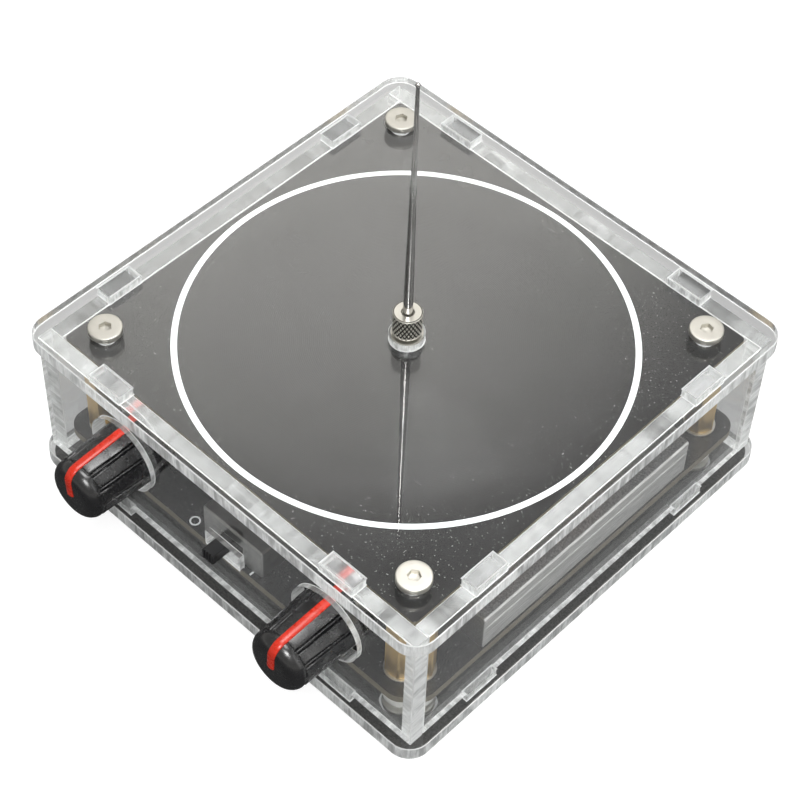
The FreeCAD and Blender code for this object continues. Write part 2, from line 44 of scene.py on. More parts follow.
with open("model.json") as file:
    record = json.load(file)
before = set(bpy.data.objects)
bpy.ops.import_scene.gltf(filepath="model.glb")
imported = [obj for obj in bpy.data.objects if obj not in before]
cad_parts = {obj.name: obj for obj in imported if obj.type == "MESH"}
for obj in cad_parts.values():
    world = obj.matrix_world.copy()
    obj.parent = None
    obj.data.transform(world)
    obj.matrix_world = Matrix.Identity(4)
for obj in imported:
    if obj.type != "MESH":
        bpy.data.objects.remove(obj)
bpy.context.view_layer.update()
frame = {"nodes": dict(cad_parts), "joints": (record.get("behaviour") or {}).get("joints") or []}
MM = 0.001
AIR = 0.03 * MM        # clear space kept between faces that touch, so that light finds one surface at a time


# ---- places taken from the frame ---------------------------------------------------------------------

def low(node):
    """Lowest corner of a CAD node."""
    return np.array(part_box(node)[0])


def high(node):
    """Highest corner of a CAD node."""
    return np.array(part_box(node)[1])


def middle(node):
    """Middle of a CAD node's box."""
    return (low(node) + high(node)) / 2


PLATE_HALF = high("top_plate")[0]
TOP_Z, CEILING_Z = high("top_plate")[2], low("top_plate")[2]
FLOOR_Z, UNDER_Z = high("bottom_plate")[2], low("bottom_plate")[2]
SHEET = TOP_Z - CEILING_Z
WALL_OUTER = high("right_wall")[0]
WALL_INNER = low("right_wall")[0]
DECK_Z = high("driver_board")[2]
SCREW_PITCH = high("top_screws")[0] - 3.0 * MM
CORNERS = [(sx * SCREW_PITCH, sy * SCREW_PITCH) for sx in (-1, 1) for sy in (-1, 1)]
KNOB_JOINT = {joint["child"]: joint["pos_m"] for joint in frame["joints"] if joint["child"].endswith("knob")}

# Places and sizes that the frame's boxes don't give. A hole or a round mark is (x, height or y, radius), with x to
# the right as seen from outside; a slot or a bar is (x from, x to) and the same for its height or y; the knobs'
# heights run from the middle of the case towards the front.
SCREW_HOLE, POST_HOLE = 1.7 * MM, 3.05 * MM
KNOB_HOLES = [(sign * 24.45 * MM, 18.8 * MM, 7.4 * MM) for sign in (-1, 1)]
SWITCH_SLOT = (-3.6 * MM, 4.6 * MM, 13.7 * MM, 17.3 * MM)
SOCKET_HOLES = [(22 * MM, 18.6 * MM, 4.6 * MM), (0, 15.1 * MM, 4.2 * MM)]
RING_MARK, RING_MARK_INSIDE = (-9.2 * MM, -39.6 * MM, 1.0 * MM), (-9.2 * MM, -39.6 * MM, 0.7 * MM)
BAR_MARK = (5.3 * MM, 5.65 * MM, -40.8 * MM, -39.9 * MM)
CAN_PLACES = [(-31.0 * MM, 17.0 * MM), (-19.5 * MM, 17.0 * MM)]
CHIP_PLACES = [(14.0 * MM, 8.0 * MM), (14.0 * MM, 0.0), (-7.0 * MM, -6.0 * MM), (-36.0 * MM, -2.0 * MM)]
SCREW_TURNS = (0.35, 0.1, 0.62, 0.9)
KNOB_TILTS = {"left": math.radians(4.0), "right": math.radians(-3.5)}
KNOB_BACK, KNOB_SKIRT, KNOB_END, KNOB_BEND = 38.45 * MM, 44.2 * MM, 55.85 * MM, 2.4 * MM


# ---- sizes and colours a user would change -----------------------------------------------------------

def in_metres(name, description, default):
    """A setting in metres."""
    return FloatProperty(name=name, description=description, default=default, unit="LENGTH")


def as_share(name, description, default):
    """A setting from 0 to 1."""
    return FloatProperty(name=name, description=description, default=default, min=0, max=1)


def in_watts(name, description, default):
    """A setting in watts."""
    return FloatProperty(name=name, description=description, default=default, unit="POWER")


def as_colour(name, description, default):
    """A setting that is a colour."""
    return FloatVectorProperty(name=name, description=description, default=default, subtype="COLOR", min=0, max=1)


def as_place(name, description, default):
    """A setting that is a place."""
    return FloatVectorProperty(name=name, description=description, default=default, subtype="TRANSLATION",
                               unit="LENGTH")


class CaseSettings(bpy.types.PropertyGroup):
    """The acrylic sheets and the pad under them"""
    corner: in_metres("Plate corner", "Radius of the plates' corners", 4.2 * MM)
    tab_width: in_metres("Tab width", "Width of the walls' tabs", 7.0 * MM)
    tab_centre: in_metres("Tab place", "Distance of a tab from the wall's middle", 27.0 * MM)
    edge_bevel: in_metres("Edge bevel", "Rounding left on a cut edge", 0.15 * MM)
    tint: as_colour("Tint", "Colour that the clear sheet gives to light", (0.985, 0.992, 0.99))
    frost: as_share("Cut roughness", "Roughness of the laser-cut edges", 0.2)
    pad_colour: as_colour("Pad", "Colour of the foam pad", (0.13, 0.13, 0.127))


class CoilSettings(bpy.types.PropertyGroup):
    """The coil board and its printed ring"""
    turns: IntProperty(name="Turns", description="Turns of the flat spiral", default=96, min=8)
    mask_colour: as_colour("Solder mask", "Colour of both boards", (0.020, 0.020, 0.021))
    print_colour: as_colour("Print", "Colour of the printed ring", (0.84, 0.875, 0.87))


class KnobSettings(bpy.types.PropertyGroup):
    """The two knobs and their pointers"""
    groove_depth: in_metres("Groove depth", "Depth of the lines between two facets", 0.4 * MM)
    flatness: as_share("Flatness", "Share of a truly flat facet", 0.7)
    body_colour: as_colour("Body", "Colour of the soft plastic", (0.011, 0.011, 0.012))
    pointer_colour: as_colour("Pointer", "Colour of the pointer insert", (0.70, 0.028, 0.008))


class MetalSettings(bpy.types.PropertyGroup):
    """The bright metal pieces"""
    nickel: as_colour("Nickel", "Colour of the screws and the nut", (0.68, 0.66, 0.605))
    brass: as_colour("Brass", "Colour of the standoffs", (0.80, 0.58, 0.28))
    aluminium: as_colour("Aluminium", "Colour of the heat sink", (0.64, 0.64, 0.63))
    steel: as_colour("Steel", "Colour of the needle", (0.74, 0.73, 0.71))


class StageSettings(bpy.types.PropertyGroup):
    """Floor, light and camera"""
    camera_place: as_place("Camera", "Place of the camera", (0.16709, -0.18645, 0.32279))
    camera_aim: as_place("Aim", "Point that the camera looks at", (0.00126, -0.00246, 0.0199))
    camera_roll: FloatProperty(name="Roll", description="Turn of the camera about its own axis",
                               default=math.radians(2.408), subtype="ANGLE")
    camera_lens: FloatProperty(name="Lens", description="Focal length in millimetres on a 36 mm sensor",
                               default=101.25)
    key_power: in_watts("Key light", "Power of the light above", 4.0)
    front_power: in_watts("Front light", "Power of the light on the camera's side", 4.6)
    right_power: in_watts("Right light", "Power of the large low light on the heat sink's side", 2.6)
    sky: FloatProperty(name="Sky", description="Strength of the even light from all sides", default=0.31, min=0)


SETTINGS = {"case": CaseSettings, "coil": CoilSettings, "knob": KnobSettings, "metal": MetalSettings,
            "stage": StageSettings}


def chosen(group):
    """The values of a group of settings."""
    return getattr(bpy.context.scene, "transformer_" + group)


# ---- surfaces ----------------------------------------------------------------------------------------

class Patch:
    """A closed surface: points (n, 3), faces as lists of point numbers, and a material number for every face."""

    def __init__(self, points, faces, finishes=0):
        self.points = np.asarray(points, float).reshape(-1, 3)
        self.faces = [list(face) for face in faces]
        self.finishes = np.broadcast_to(finishes, len(self.faces)).copy()

    def turned_to(self, axis):
        """The patch with its own +Z turned to another axis."""
        self.points = self.points @ TURNS[axis].T
        return self

    def rolled(self, angle):
        """The patch turned about its own Z axis."""
        c, s = math.cos(angle), math.sin(angle)
        self.points = self.points @ np.array([[c, s, 0], [-s, c, 0], [0, 0, 1]])
        return self

    def moved(self, x, y, z):
        """The patch moved to a place."""
        self.points = self.points + np.array([x, y, z])
        return self

    def copy(self):
        """Another patch of the same shape."""
        return Patch(self.points.copy(), self.faces, self.finishes)


TURNS = {
    "-Z": np.diag([1.0, -1.0, -1.0]),
    "-Y": np.array([[1.0, 0, 0], [0, 0, -1], [0, 1, 0]]),
    "+Y": np.array([[-1.0, 0, 0], [0, 0, 1], [0, 1, 0]]),
    "+X": np.array([[0.0, 0, 1], [1, 0, 0], [0, 1, 0]]),
    "-X": np.array([[0.0, 0, -1], [-1, 0, 0], [0, 1, 0]]),
}


def grid_faces(rows, columns, wrap_rows=False, wrap_columns=True):
    """Four-cornered faces of a grid of points numbered row by row; a wrapped direction closes on itself."""
    i, j = np.meshgrid(np.arange(rows if wrap_rows else rows - 1),
                       np.arange(columns if wrap_columns else columns - 1), indexing="ij")
    below, above = i * columns, (i + 1) % rows * columns
    right = (j + 1) % columns
    return np.stack([below + j, below + right, above + right, above + j], -1).reshape(-1, 4)


def around(sides):
    """Angles of a ring's points."""
    return 2 * np.pi * np.arange(sides) / sides


def turned(profile, sides=64, finishes=0, angles=None):
    """A turned surface about +Z. Every (radius, height) of the profile is a ring, and either may be one number
    or one for every angle: x = r cos a, y = r sin a, z = h. Rings of radius 0 close it at both ends."""
    angle = around(sides) if angles is None else angles
    radius, height = (np.stack([np.broadcast_to(np.asarray(ring[part], float), angle.shape) for ring in profile])
                      for part in (0, 1))
    points = np.stack([radius * np.cos(angle), radius * np.sin(angle), height], -1)
    return Patch(points, grid_faces(len(profile), len(angle)), finishes)


def hexagon(flats, angle):
    """Distance of a hexagon's outline from its centre at each angle, from the size across its flats."""
    return flats / 2 / np.cos((angle % (np.pi / 3)) - np.pi / 6)


def thread_rings(radius, pitch, depth, z0, z1, sides, steps):
    """Rings of a screw thread: the radius falls by a triangle wave of height over pitch minus angle over a turn."""
    angle = around(sides)
    rings = []
    for z in np.linspace(z0, z1, max(2, int(abs(z1 - z0) / pitch * steps))):
        phase = (z / pitch - angle / (2 * np.pi)) % 1
        rings.append((radius - depth * (1 - np.abs(2 * phase - 1)), z))
    return rings


def rounded_edge(radius, z, size, turn_from, turn_to, steps=4):
    """Rings of a quarter-round edge about the circle (radius, z), from one angle to another in degrees."""
    angle = np.radians(np.linspace(turn_from, turn_to, steps + 1))
    return [(radius + size * math.cos(a), z + size * math.sin(a)) for a in angle]


def along(vectors):
    """Vectors scaled to length 1."""
    return vectors / np.linalg.norm(vectors, axis=1)[:, None]


def closed_tube(path, radius, sides):
    """A round tube: a circle of the radius carried round a closed path, square to it at every point."""
    ahead = along(np.roll(path, -1, 0) - np.roll(path, 1, 0))
    side = along(np.cross(ahead, [0.13, 0.29, 0.95]))
    up = np.cross(ahead, side)
    angle = around(sides)[:, None]
    ring = side[:, None] * np.cos(angle) + up[:, None] * np.sin(angle)
    return Patch(path[:, None] + radius * ring, grid_faces(len(path), sides, wrap_rows=True))


def outline_offset(outline, distance):
    """An outline moved towards its left side, along the mitre at every corner."""
    before, after = outline - np.roll(outline, 1, 0), np.roll(outline, -1, 0) - outline
    normals = [along(np.stack([-step[:, 1], step[:, 0]], -1)) for step in (before, after)]
    bend = 1 + (normals[0] * normals[1]).sum(1)
    return outline + distance * (normals[0] + normals[1]) / bend[:, None]


def rounded_rectangle(x0, x1, y0, y1, radius, steps=8):
    """Outline of a rectangle with round corners, anticlockwise."""
    quarter = np.linspace(0, np.pi / 2, steps + 1)
    centres = [(x1 - radius, y1 - radius), (x0 + radius, y1 - radius), (x0 + radius, y0 + radius),
               (x1 - radius, y0 + radius)]
    return np.concatenate([np.stack([cx + radius * np.cos(quarter + turn * np.pi / 2),
                                     cy + radius * np.sin(quarter + turn * np.pi / 2)], -1)
                           for turn, (cx, cy) in enumerate(centres)])


def rectangle(x0, x1, y0, y1):
    """Outline of a plain rectangle, anticlockwise."""
    return np.array([(x1, y1), (x0, y1), (x0, y0), (x1, y0)], float)


def circle(x, y, radius, sides):
    """Outline of a circle, anticlockwise."""
    angle = around(sides)
    return np.stack([x + radius * np.cos(angle), y + radius * np.sin(angle)], -1)


def inside(points, outlines):
    """Which points lie inside an odd number of the outlines, by counting edges crossed on the way right."""
    found = np.zeros(len(points), bool)
    for outline in outlines:
        a, b = outline, np.roll(outline, -1, 0)
        x, y = points[:, :1], points[:, 1:]
        spans = (a[:, 1] > y) != (b[:, 1] > y)
        with np.errstate(divide="ignore", invalid="ignore"):
            crossing = a[:, 0] + (y - a[:, 1]) / (b[:, 1] - a[:, 1]) * (b[:, 0] - a[:, 0])
        found ^= (spans & (x < crossing)).sum(1) % 2 == 1
    return found


def flat_sheet(outer, holes, thickness, bevel, face=0, edge=1, rim=2):
    """A sheet cut to an outline with holes, from z = 0 up to its thickness, with a small bevel on every rim.
    Its faces are triangles between the outlines; its edges are four rings along each outline. The three
    numbers are the materials of the faces, the cut edges and the bevels."""
    loops = [outer] + [hole[::-1] for hole in holes]
    inner_loops = [outline_offset(loop, bevel) for loop in loops]
    points, faces, finishes = [], [], []
    start = 0
    for loop, inner in zip(loops, inner_loops):
        count = len(loop)
        for flat, z in ((inner, 0), (loop, bevel), (loop, thickness - bevel), (inner, thickness)):
            points.append(np.column_stack([flat, np.full(count, z)]))
        faces += (grid_faces(4, count) + start).tolist()
        finishes += [rim] * count + [edge] * count + [rim] * count
        start += 4 * count
    corners, sizes = np.concatenate(inner_loops), [len(loop) for loop in loops]
    edges = [(a, a + 1 if a + 1 < end else end - size)
             for end, size in zip(np.cumsum(sizes), sizes) for a in range(end - size, end)]
    flat_points, _, triangles, *_ = delaunay_2d_cdt([Vector(corner) for corner in corners], edges, [], 0, 1e-9)
    flat_points = np.array([tuple(point) for point in flat_points])
    triangles = np.array([tuple(triangle) for triangle in triangles])
    triangles = triangles[inside(flat_points[triangles].mean(1), inner_loops)]
    a, b, c = (flat_points[triangles[:, k]] for k in range(3))
    area = (b[:, 0] - a[:, 0]) * (c[:, 1] - a[:, 1]) - (c[:, 0] - a[:, 0]) * (b[:, 1] - a[:, 1])
    triangles[area < 0] = triangles[area < 0][:, ::-1]
    for z, order in ((0, -1), (thickness, 1)):
        points.append(np.column_stack([flat_points, np.full(len(flat_points), z)]))
        faces += (triangles[:, ::order] + start).tolist()
        finishes += [face] * len(triangles)
        start += len(flat_points)
    return Patch(np.concatenate(points), faces, np.array(finishes))


def build(name, patches, materials, body, replaces=(), sharp=32):
    """Makes one piece from patches: merges the points that meet, shades it smooth up to the sharp angle in
    degrees, puts it under its body's empty and hides the CAD nodes that it stands for."""
    points = np.concatenate([patch.points for patch in patches])
    starts = np.cumsum([0] + [len(patch.points) for patch in patches])
    faces = [[corner + start for corner in face] for patch, start in zip(patches, starts) for face in patch.faces]
    mesh = bpy.data.meshes.new(name)
    mesh.from_pydata(points, [], faces)
    mesh.polygons.foreach_set("material_index", np.concatenate([p.finishes for p in patches]).astype(np.int32))
    clean(mesh)
    mesh.shade_smooth()
    mesh.set_sharp_from_angle(angle=math.radians(sharp))
    for material in materials:
        mesh.materials.append(material)
    piece = bpy.data.objects.new(name, mesh)
    bpy.context.scene.collection.objects.link(piece)
    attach(piece, body)
    if replaces:
        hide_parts(*replaces)
    return piece


def clean(mesh):
    """Merges points closer than a micrometre and drops the faces that this closes up."""
    work = bmesh.new()
    work.from_mesh(mesh)
    bmesh.ops.remove_doubles(work, verts=work.verts, dist=1e-6)
    bmesh.ops.dissolve_degenerate(work, edges=work.edges, dist=1e-8)
    work.to_mesh(mesh)
    work.free()


def dress(material, *nodes):
    """Gives CAD nodes that keep their own shape a material of this file."""
    for node in nodes:
        mesh = frame["nodes"][node].data
        mesh.materials.clear()
        mesh.materials.append(material)


# ---- finishes ----------------------------------------------------------------------------------------

class Nodes:
    """Adds nodes to a tree. An input is set to a number or a colour, or linked to another node's output."""

    def __init__(self, tree):
        self.tree = tree

    def set(self, node, socket, value):
        """Sets an input, or links it where the value is another node's output."""
        entry = node.inputs[socket if isinstance(socket, int) else socket.replace("_", " ")]
        if isinstance(value, bpy.types.NodeSocket):
            self.tree.links.new(value, entry)
        elif entry.type == "RGBA":
            entry.default_value = (*value, 1)[:4]
        else:
            entry.default_value = value

    def node(self, kind, inputs=(), **properties):
        """A node with its inputs as (socket, value) pairs and its properties by name."""
        made = self.tree.nodes.new(kind)
        for name, value in properties.items():
            setattr(made, name, value)
        for socket, value in inputs:
            self.set(made, socket, value)
        return made

    def math(self, operation, *values):
        """The result of a sum on values that are numbers or other nodes' outputs."""
        return self.node("ShaderNodeMath", enumerate(values), operation=operation).outputs[0]

    def range(self, value, low, high, to_low, to_high, **properties):
        """A number moved from one range to another and kept within it."""
        inputs = [("Value", value), ("From Min", low), ("From Max", high), ("To Min", to_low), ("To Max", to_high)]
        return self.node("ShaderNodeMapRange", inputs, **properties).outputs["Result"]

    def mixed(self, share, first, second):
        """A surface between two, by a share."""
        return self.node("ShaderNodeMixShader", [(0, share), (1, first), (2, second)]).outputs[0]

    def by_ray(self, amounts):
        """The amount that belongs to a ray's kind, and 0 for other kinds: the largest of kind times amount."""
        path, found = self.node("ShaderNodeLightPath"), None
        for kind, amount in amounts.items():
            part = self.math("MULTIPLY", path.outputs[kind], amount)
            found = part if found is None else self.math("MAXIMUM", found, part)
        return found


class Finish(Nodes):
    """A material under construction. What is the same all over is set on the shader's own sockets, and what
    varies is worked out from the piece's own coordinates in metres."""

    def __init__(self, name, **shader):
        self.material = bpy.data.materials.new(name)
        self.material.use_nodes = True
        super().__init__(self.material.node_tree)
        self.shader = self.tree.nodes["Principled BSDF"]
        self.output = self.tree.nodes["Material Output"]
        for socket, value in shader.items():
            self.set(self.shader, socket, value)
        self.place = self.node("ShaderNodeTexCoord").outputs["Object"]

    def facing_up(self):
        """The upward part of the direction that the surface faces, from -1 to 1."""
        normal = self.node("ShaderNodeNewGeometry").outputs["Normal"]
        return self.node("ShaderNodeSeparateXYZ", [(0, normal)]).outputs["Z"]

    def stretched(self, x, y, z):
        """The piece's coordinates multiplied by three numbers."""
        return self.node("ShaderNodeMapping", [("Vector", self.place), ("Scale", (x, y, z))]).outputs[0]

    def noise(self, size, detail=2.0, vector=None):
        """Smooth noise from 0 to 1 with spots of about the size given in metres."""
        inputs = [("Vector", self.place if vector is None else vector), ("Scale", 1 / size), ("Detail", detail)]
        return self.node("ShaderNodeTexNoise", inputs).outputs["Fac"]

    def blend(self, share, first, second):
        """A colour between two, by a share from 0 to 1."""
        return self.node("ShaderNodeMix", [(0, share), (6, first), (7, second)], data_type="RGBA").outputs[2]

    def colour(self, first, second, share):
        """Gives the surface a colour between two."""
        self.set(self.shader, "Base Color", self.blend(share, first, second))
        return self

    def repainted(self, share, colour):
        """Moves the surface's colour towards another by a share."""
        return self.colour(self.shader.inputs["Base Color"].links[0].from_socket, colour, share)

    def mottled(self, colour, amount, size, detail=2.0):
        """Gives the surface a colour that wanders a little."""
        dark, pale = [[min(1, part * (1 + sign * amount)) for part in colour] for sign in (-1, 1)]
        return self.colour(dark, pale, self.range(self.noise(size, detail), 0.3, 0.7, 0, 1))

    def roughness(self, low, high, size, detail=2.0):
        """Gives the surface a roughness that wanders between two values."""
        self.set(self.shader, "Roughness", self.range(self.noise(size, detail), 0.3, 0.7, low, high))
        return self

    def relief(self, height, depth):
        """Gives the surface a relief of a depth in metres from a height between 0 and 1."""
        bump = self.node("ShaderNodeBump", [("Height", height), ("Distance", depth), ("Strength", 1.0)])
        self.set(self.shader, "Normal", bump.outputs[0])
        return self

    def lets_lamps_through(self):
        """Lets the lamps' rays pass, so that what is behind a clear piece is lit."""
        clear = self.node("ShaderNodeBsdfTransparent", [("Color", (0.97, 0.97, 0.97))])
        shadow = self.node("ShaderNodeLightPath").outputs["Is Shadow Ray"]
        surface = self.output.inputs["Surface"].links[0].from_socket
        self.set(self.output, "Surface", self.mixed(shadow, surface, clear.outputs[0]))
        return self


MATERIALS = {}


def finish(maker, *values):
    """The material that a maker gives for these values, or that the table holds under a name, made once."""
    key = (maker, *values)
    if key not in MATERIALS:
        MATERIALS[key] = (plain(maker) if isinstance(maker, str) else maker(*values)).material
    return MATERIALS[key]


def acrylic_face():
    """Clear cast sheet: smooth, with a very slight wave in its surface."""
    sheet = Finish("Acrylic sheet", Base_Color=chosen("case").tint, Roughness=0.0, IOR=1.49, Transmission_Weight=1.0)
    sheet.relief(sheet.noise(9 * MM, 1.0), 0.004 * MM)
    return sheet.lets_lamps_through()


def acrylic_cut(name, across):
    """Laser-cut edge: frosted, with fine lines that run through the sheet's thickness and a share of milky white
    that is lit from both sides. The white is partly the frosting's own scatter and partly a painted glow of the
    light that the sheet carries inside it. The share wanders, and as painted shade it is smaller on the walls'
    upper edges and on the plates' edges at the back and left, so that these render darker."""
    case = chosen("case")
    cut = Finish(name, Base_Color=case.tint, Roughness=case.frost, IOR=1.49, Transmission_Weight=1.0)
    lines = cut.noise(0.35 * MM, 3.0, cut.stretched(*across))
    cut.relief(lines, 0.025 * MM)
    patches = cut.range(cut.noise(1.6 * MM, 5.0, cut.stretched(*[max(part, 0.3) for part in across])),
                        0.4, 0.6, 0.6, 1.1)
    x, y, height = cut.node("ShaderNodeSeparateXYZ", [(0, cut.place)]).outputs
    # Painted shade: the milky share falls to about a quarter on cut faces that face up above the foot and on the
    # plates' edges at the back and left.
    above_foot = cut.math("GREATER_THAN", height, 10 * MM)
    top = cut.math("MULTIPLY", cut.range(cut.facing_up(), 0.5, 0.9, 0, 1), above_foot)
    behind = cut.math("MAXIMUM", cut.math("MULTIPLY", x, -1.0), y)
    far = cut.math("GREATER_THAN", behind, PLATE_HALF - 0.4 * MM)
    level = cut.range(cut.math("MAXIMUM", top, far), 0, 1, 1.0, 0.24)
    share = cut.math("MULTIPLY", cut.range(lines, 0.3, 0.7, 0.7, 1.0), cut.math("MULTIPLY", patches, level))
    # The milky white is partly the frosting's scatter and partly a painted glow of light carried inside the sheet.
    white = [("Color", (0.93, 0.945, 0.94))]
    near_side, far_side = (cut.node("ShaderNodeBsdf" + kind, white).outputs[0] for kind in ("Diffuse", "Translucent"))
    milk_and_painted_glow = cut.mixed(0.3, near_side, far_side)
    cut.set(cut.output, "Surface", cut.mixed(share, cut.shader.outputs[0], milk_and_painted_glow))
    return cut.lets_lamps_through()


def acrylic_painted_highlight_rim():
    """Painted highlight on the bevels between the sheet's faces and its cut edges: a mostly opaque near-white that
    renders as bright rims.
    """
    # Painted highlight: seven tenths of the bevel is an opaque near-white instead of clear sheet.
    rim = Finish("Bright rim", Base_Color=(0.97, 0.98, 0.975), Roughness=0.25, IOR=1.49, Transmission_Weight=0.3)
    rim.relief(rim.noise(0.5 * MM, 3.0), 0.03 * MM)
    return rim.lets_lamps_through()


def foam():
    """Dark closed-cell foam."""
    pad = Finish("Foam pad", Roughness=0.85, Specular_IOR_Level=0.2)
    pad.mottled(chosen("case").pad_colour, 0.25, 0.4 * MM, 3.0)
    cells = pad.node("ShaderNodeTexVoronoi", [("Vector", pad.place), ("Scale", 1 / (0.35 * MM))]).outputs["Distance"]
    return pad.relief(cells, 0.08 * MM)


def solder_mask():
    """Glossy black mask over a board, with slow waves and fine dust; the board's sawn edges show their fibre."""
    mask = Finish("Black solder mask", Specular_IOR_Level=0.5)
    mask.mottled(chosen("coil").mask_colour, 0.15, 6 * MM)
    dust = mask.range(mask.noise(0.3 * MM, 1.0), 0.70, 0.75, 0, 1)
    mask.repainted(mask.math("MULTIPLY", dust, 0.7), (0.5, 0.5, 0.48))
    side = mask.math("LESS_THAN", mask.math("ABSOLUTE", mask.facing_up()), 0.5)
    fibre = mask.noise(0.2 * MM, 2.0, mask.stretched(1, 1, 8))
    mask.repainted(side, mask.blend(fibre, (0.09, 0.075, 0.045), (0.19, 0.165, 0.11)))
    gloss = mask.range(mask.noise(4 * MM), 0.3, 0.7, 0.07, 0.14)
    mask.set(mask.shader, "Roughness", mask.math("ADD", gloss, mask.math("MULTIPLY", side, 0.4)))
    return mask.relief(mask.noise(2.5 * MM, 2.0), 0.004 * MM)


def bare_copper():
    """Copper of the single-turn loop, a little tarnished."""
    copper = Finish("Bare copper", Metallic=1.0)
    copper.colour((0.80, 0.42, 0.24), (0.58, 0.27, 0.14), copper.range(copper.noise(3 * MM, 4.0), 0.4, 0.7, 0, 1))
    return copper.roughness(0.25, 0.42, 1.5 * MM)


METAL, PLASTIC = {"Metallic": 1.0}, {"Specular_IOR_Level": 0.45}
MACHINED, MOULDED, TOOL_MARKS = (0.04, 2.5, 2), (0.12, 1.5, 3), (2, 0.001, 0.15, 0.15, 1)

# Materials that differ only in numbers. Their five entries are
# - the colour, or a group of settings, its colour and a factor for it
# - how much the colour wanders, the size of its spots in millimetres and the noise's detail
# - the roughness from and to, the size of its spots and the detail, or nothing
# - the relief's size, detail and depth, and how it is stretched along x, y and z, or nothing
# - the shader's other values.
PLAIN = {
    "Nickel plate": (("metal", "nickel", 1), MACHINED, (0.36, 0.48, 1.2, 2), (0.1, *TOOL_MARKS), METAL),
    "Nut nickel": (("metal", "nickel", 1), MACHINED, (0.24, 0.34, 1.2, 2), (0.1, *TOOL_MARKS), METAL),
    "Brass": (("metal", "brass", 1), MACHINED, (0.34, 0.42, 1.2, 2), (0.12, *TOOL_MARKS), METAL),
    "Plated sheet": ((0.50, 0.49, 0.47), (0.08, 2, 4), (0.22, 0.38, 0.8, 3), (0.3, 3, 0.004), METAL),
    "Switch shell": ((0.40, 0.40, 0.39), (0.1, 2, 2), (0.3, 0.42, 1.5, 2), None, METAL),
    "Tin": ((0.72, 0.72, 0.70), (0.08, 0.6, 2), (0.2, 0.35, 0.3, 2), None, METAL),
    "Enamelled wire": ((0.62, 0.24, 0.09), (0.1, 1, 2), (0.25, 0.35, 0.5, 2), None,
                       {"Metallic": 0.75, "Coat_Weight": 0.6, "Coat_Roughness": 0.12}),
    "Black moulding": ((0.018, 0.018, 0.019), MOULDED, (0.38, 0.55, 1, 2), (0.2, 2, 0.015), PLASTIC),
    "Insulating pad": ((0.34, 0.35, 0.36), MOULDED, (0.6, 0.75, 1, 2), (0.1, 2, 0.01), PLASTIC),
    "Can sleeve": ((0.022, 0.022, 0.026), MOULDED, (0.22, 0.32, 1, 2), (0.6, 2, 0.006), PLASTIC),
    "Film capacitor case": ((0.42, 0.06, 0.03), MOULDED, (0.25, 0.35, 1, 2), (0.5, 2, 0.01), PLASTIC),
    "Choke core": ((0.55, 0.48, 0.12), MOULDED, (0.35, 0.5, 1, 2), (0.4, 2, 0.02), PLASTIC),
    "Green mask": ((0.02, 0.13, 0.06), MOULDED, (0.15, 0.25, 1, 2), (1.5, 2, 0.01), PLASTIC),
    "Knob plastic": (("knob", "body_colour", 1), MOULDED, (0.22, 0.3, 1, 2), (0.2, 2, 0.003),
                     {"Specular_IOR_Level": 1.0}),
    "Pointer plastic": (("knob", "pointer_colour", 1), MOULDED, (0.24, 0.32, 1, 2), (0.12, 2, 0.008),
                        {"Specular_IOR_Level": 0.65}),
    "Masked winding": (("coil", "mask_colour", 1.15), (0.2, 5, 2), (0.1, 0.2, 3, 2), None,
                       {"Specular_IOR_Level": 0.55}),
    "White print": (("coil", "print_colour", 1), (0.05, 0.8, 3), None, (0.12, 2, 0.01), {"Roughness": 0.5}),
    "Nylon": ((0.86, 0.86, 0.83), (0.04, 1.5, 2), None, (0.3, 2, 0.008),
              {"Roughness": 0.38, "IOR": 1.53, "Subsurface_Weight": 0.35, "Subsurface_Radius": (1.0, 1.0, 0.95),
               "Subsurface_Scale": 1.2 * MM}),
    "Lamp lens": ((0.86, 0.88, 0.86), (0.03, 0.6, 2), None, None,
                  {"Transmission_Weight": 0.4, "IOR": 1.5, "Roughness": 0.12}),
}


def plain(name):
    """A material of the table above."""
    colour, (amount, spots, spot_detail), gloss, grain, shader = PLAIN[name]
    if isinstance(colour[0], str):
        group, setting, factor = colour
        colour = [part * factor for part in getattr(chosen(group), setting)]
    made = Finish(name, **shader)
    made.mottled(colour, amount, spots * MM, spot_detail)
    if gloss:
        low, high, patches, patch_detail = gloss
        made.roughness(low, high, patches * MM, patch_detail)
    if grain:
        size, detail, depth, *stretch = grain
        made.relief(made.noise(size * MM, detail, made.stretched(*stretch) if stretch else None), depth * MM)
    return made


def knurled_nickel_painted_shade(radius):
    """Nickel plate of the thumb nut, with painted shade that makes the bottom of the knurl's cuts near black, and
    rougher on its flank.
    """
    plate = plain("Nut nickel")
    flat = plate.node("ShaderNodeVectorMath", [(0, plate.place), (1, (1, 1, 0))], operation="MULTIPLY")
    out = plate.node("ShaderNodeVectorMath", [(0, flat.outputs[0])], operation="LENGTH").outputs["Value"]
    # Painted shade: inside the cuts, below the ridges, the colour falls to a twentieth of the nickel.
    ridge = plate.range(out, radius - 0.2 * MM, radius - 0.08 * MM, 0, 1)
    cut = plate.math("MULTIPLY", plate.math("SUBTRACT", 1, ridge), plate.math("GREATER_THAN", out, radius - 0.29 * MM))
    plate.repainted(cut, [part * 0.05 for part in chosen("metal").nickel])
    plate.set(plate.shader, "Roughness", plate.range(plate.facing_up(), 0.8, 0.95, 0.5, 0.3))
    return plate


def steel():
    """Polished steel of the needle, drawn along its axis, so that its highlights spread round it."""
    metal = Finish("Needle steel", Metallic=1.0, Anisotropic=0.5)
    metal.mottled(chosen("metal").steel, 0.05, 1.5 * MM)
    metal.set(metal.shader, "Tangent", metal.node("ShaderNodeTangent", direction_type="RADIAL", axis="Z").outputs[0])
    return metal.roughness(0.16, 0.22, 1.0 * MM)


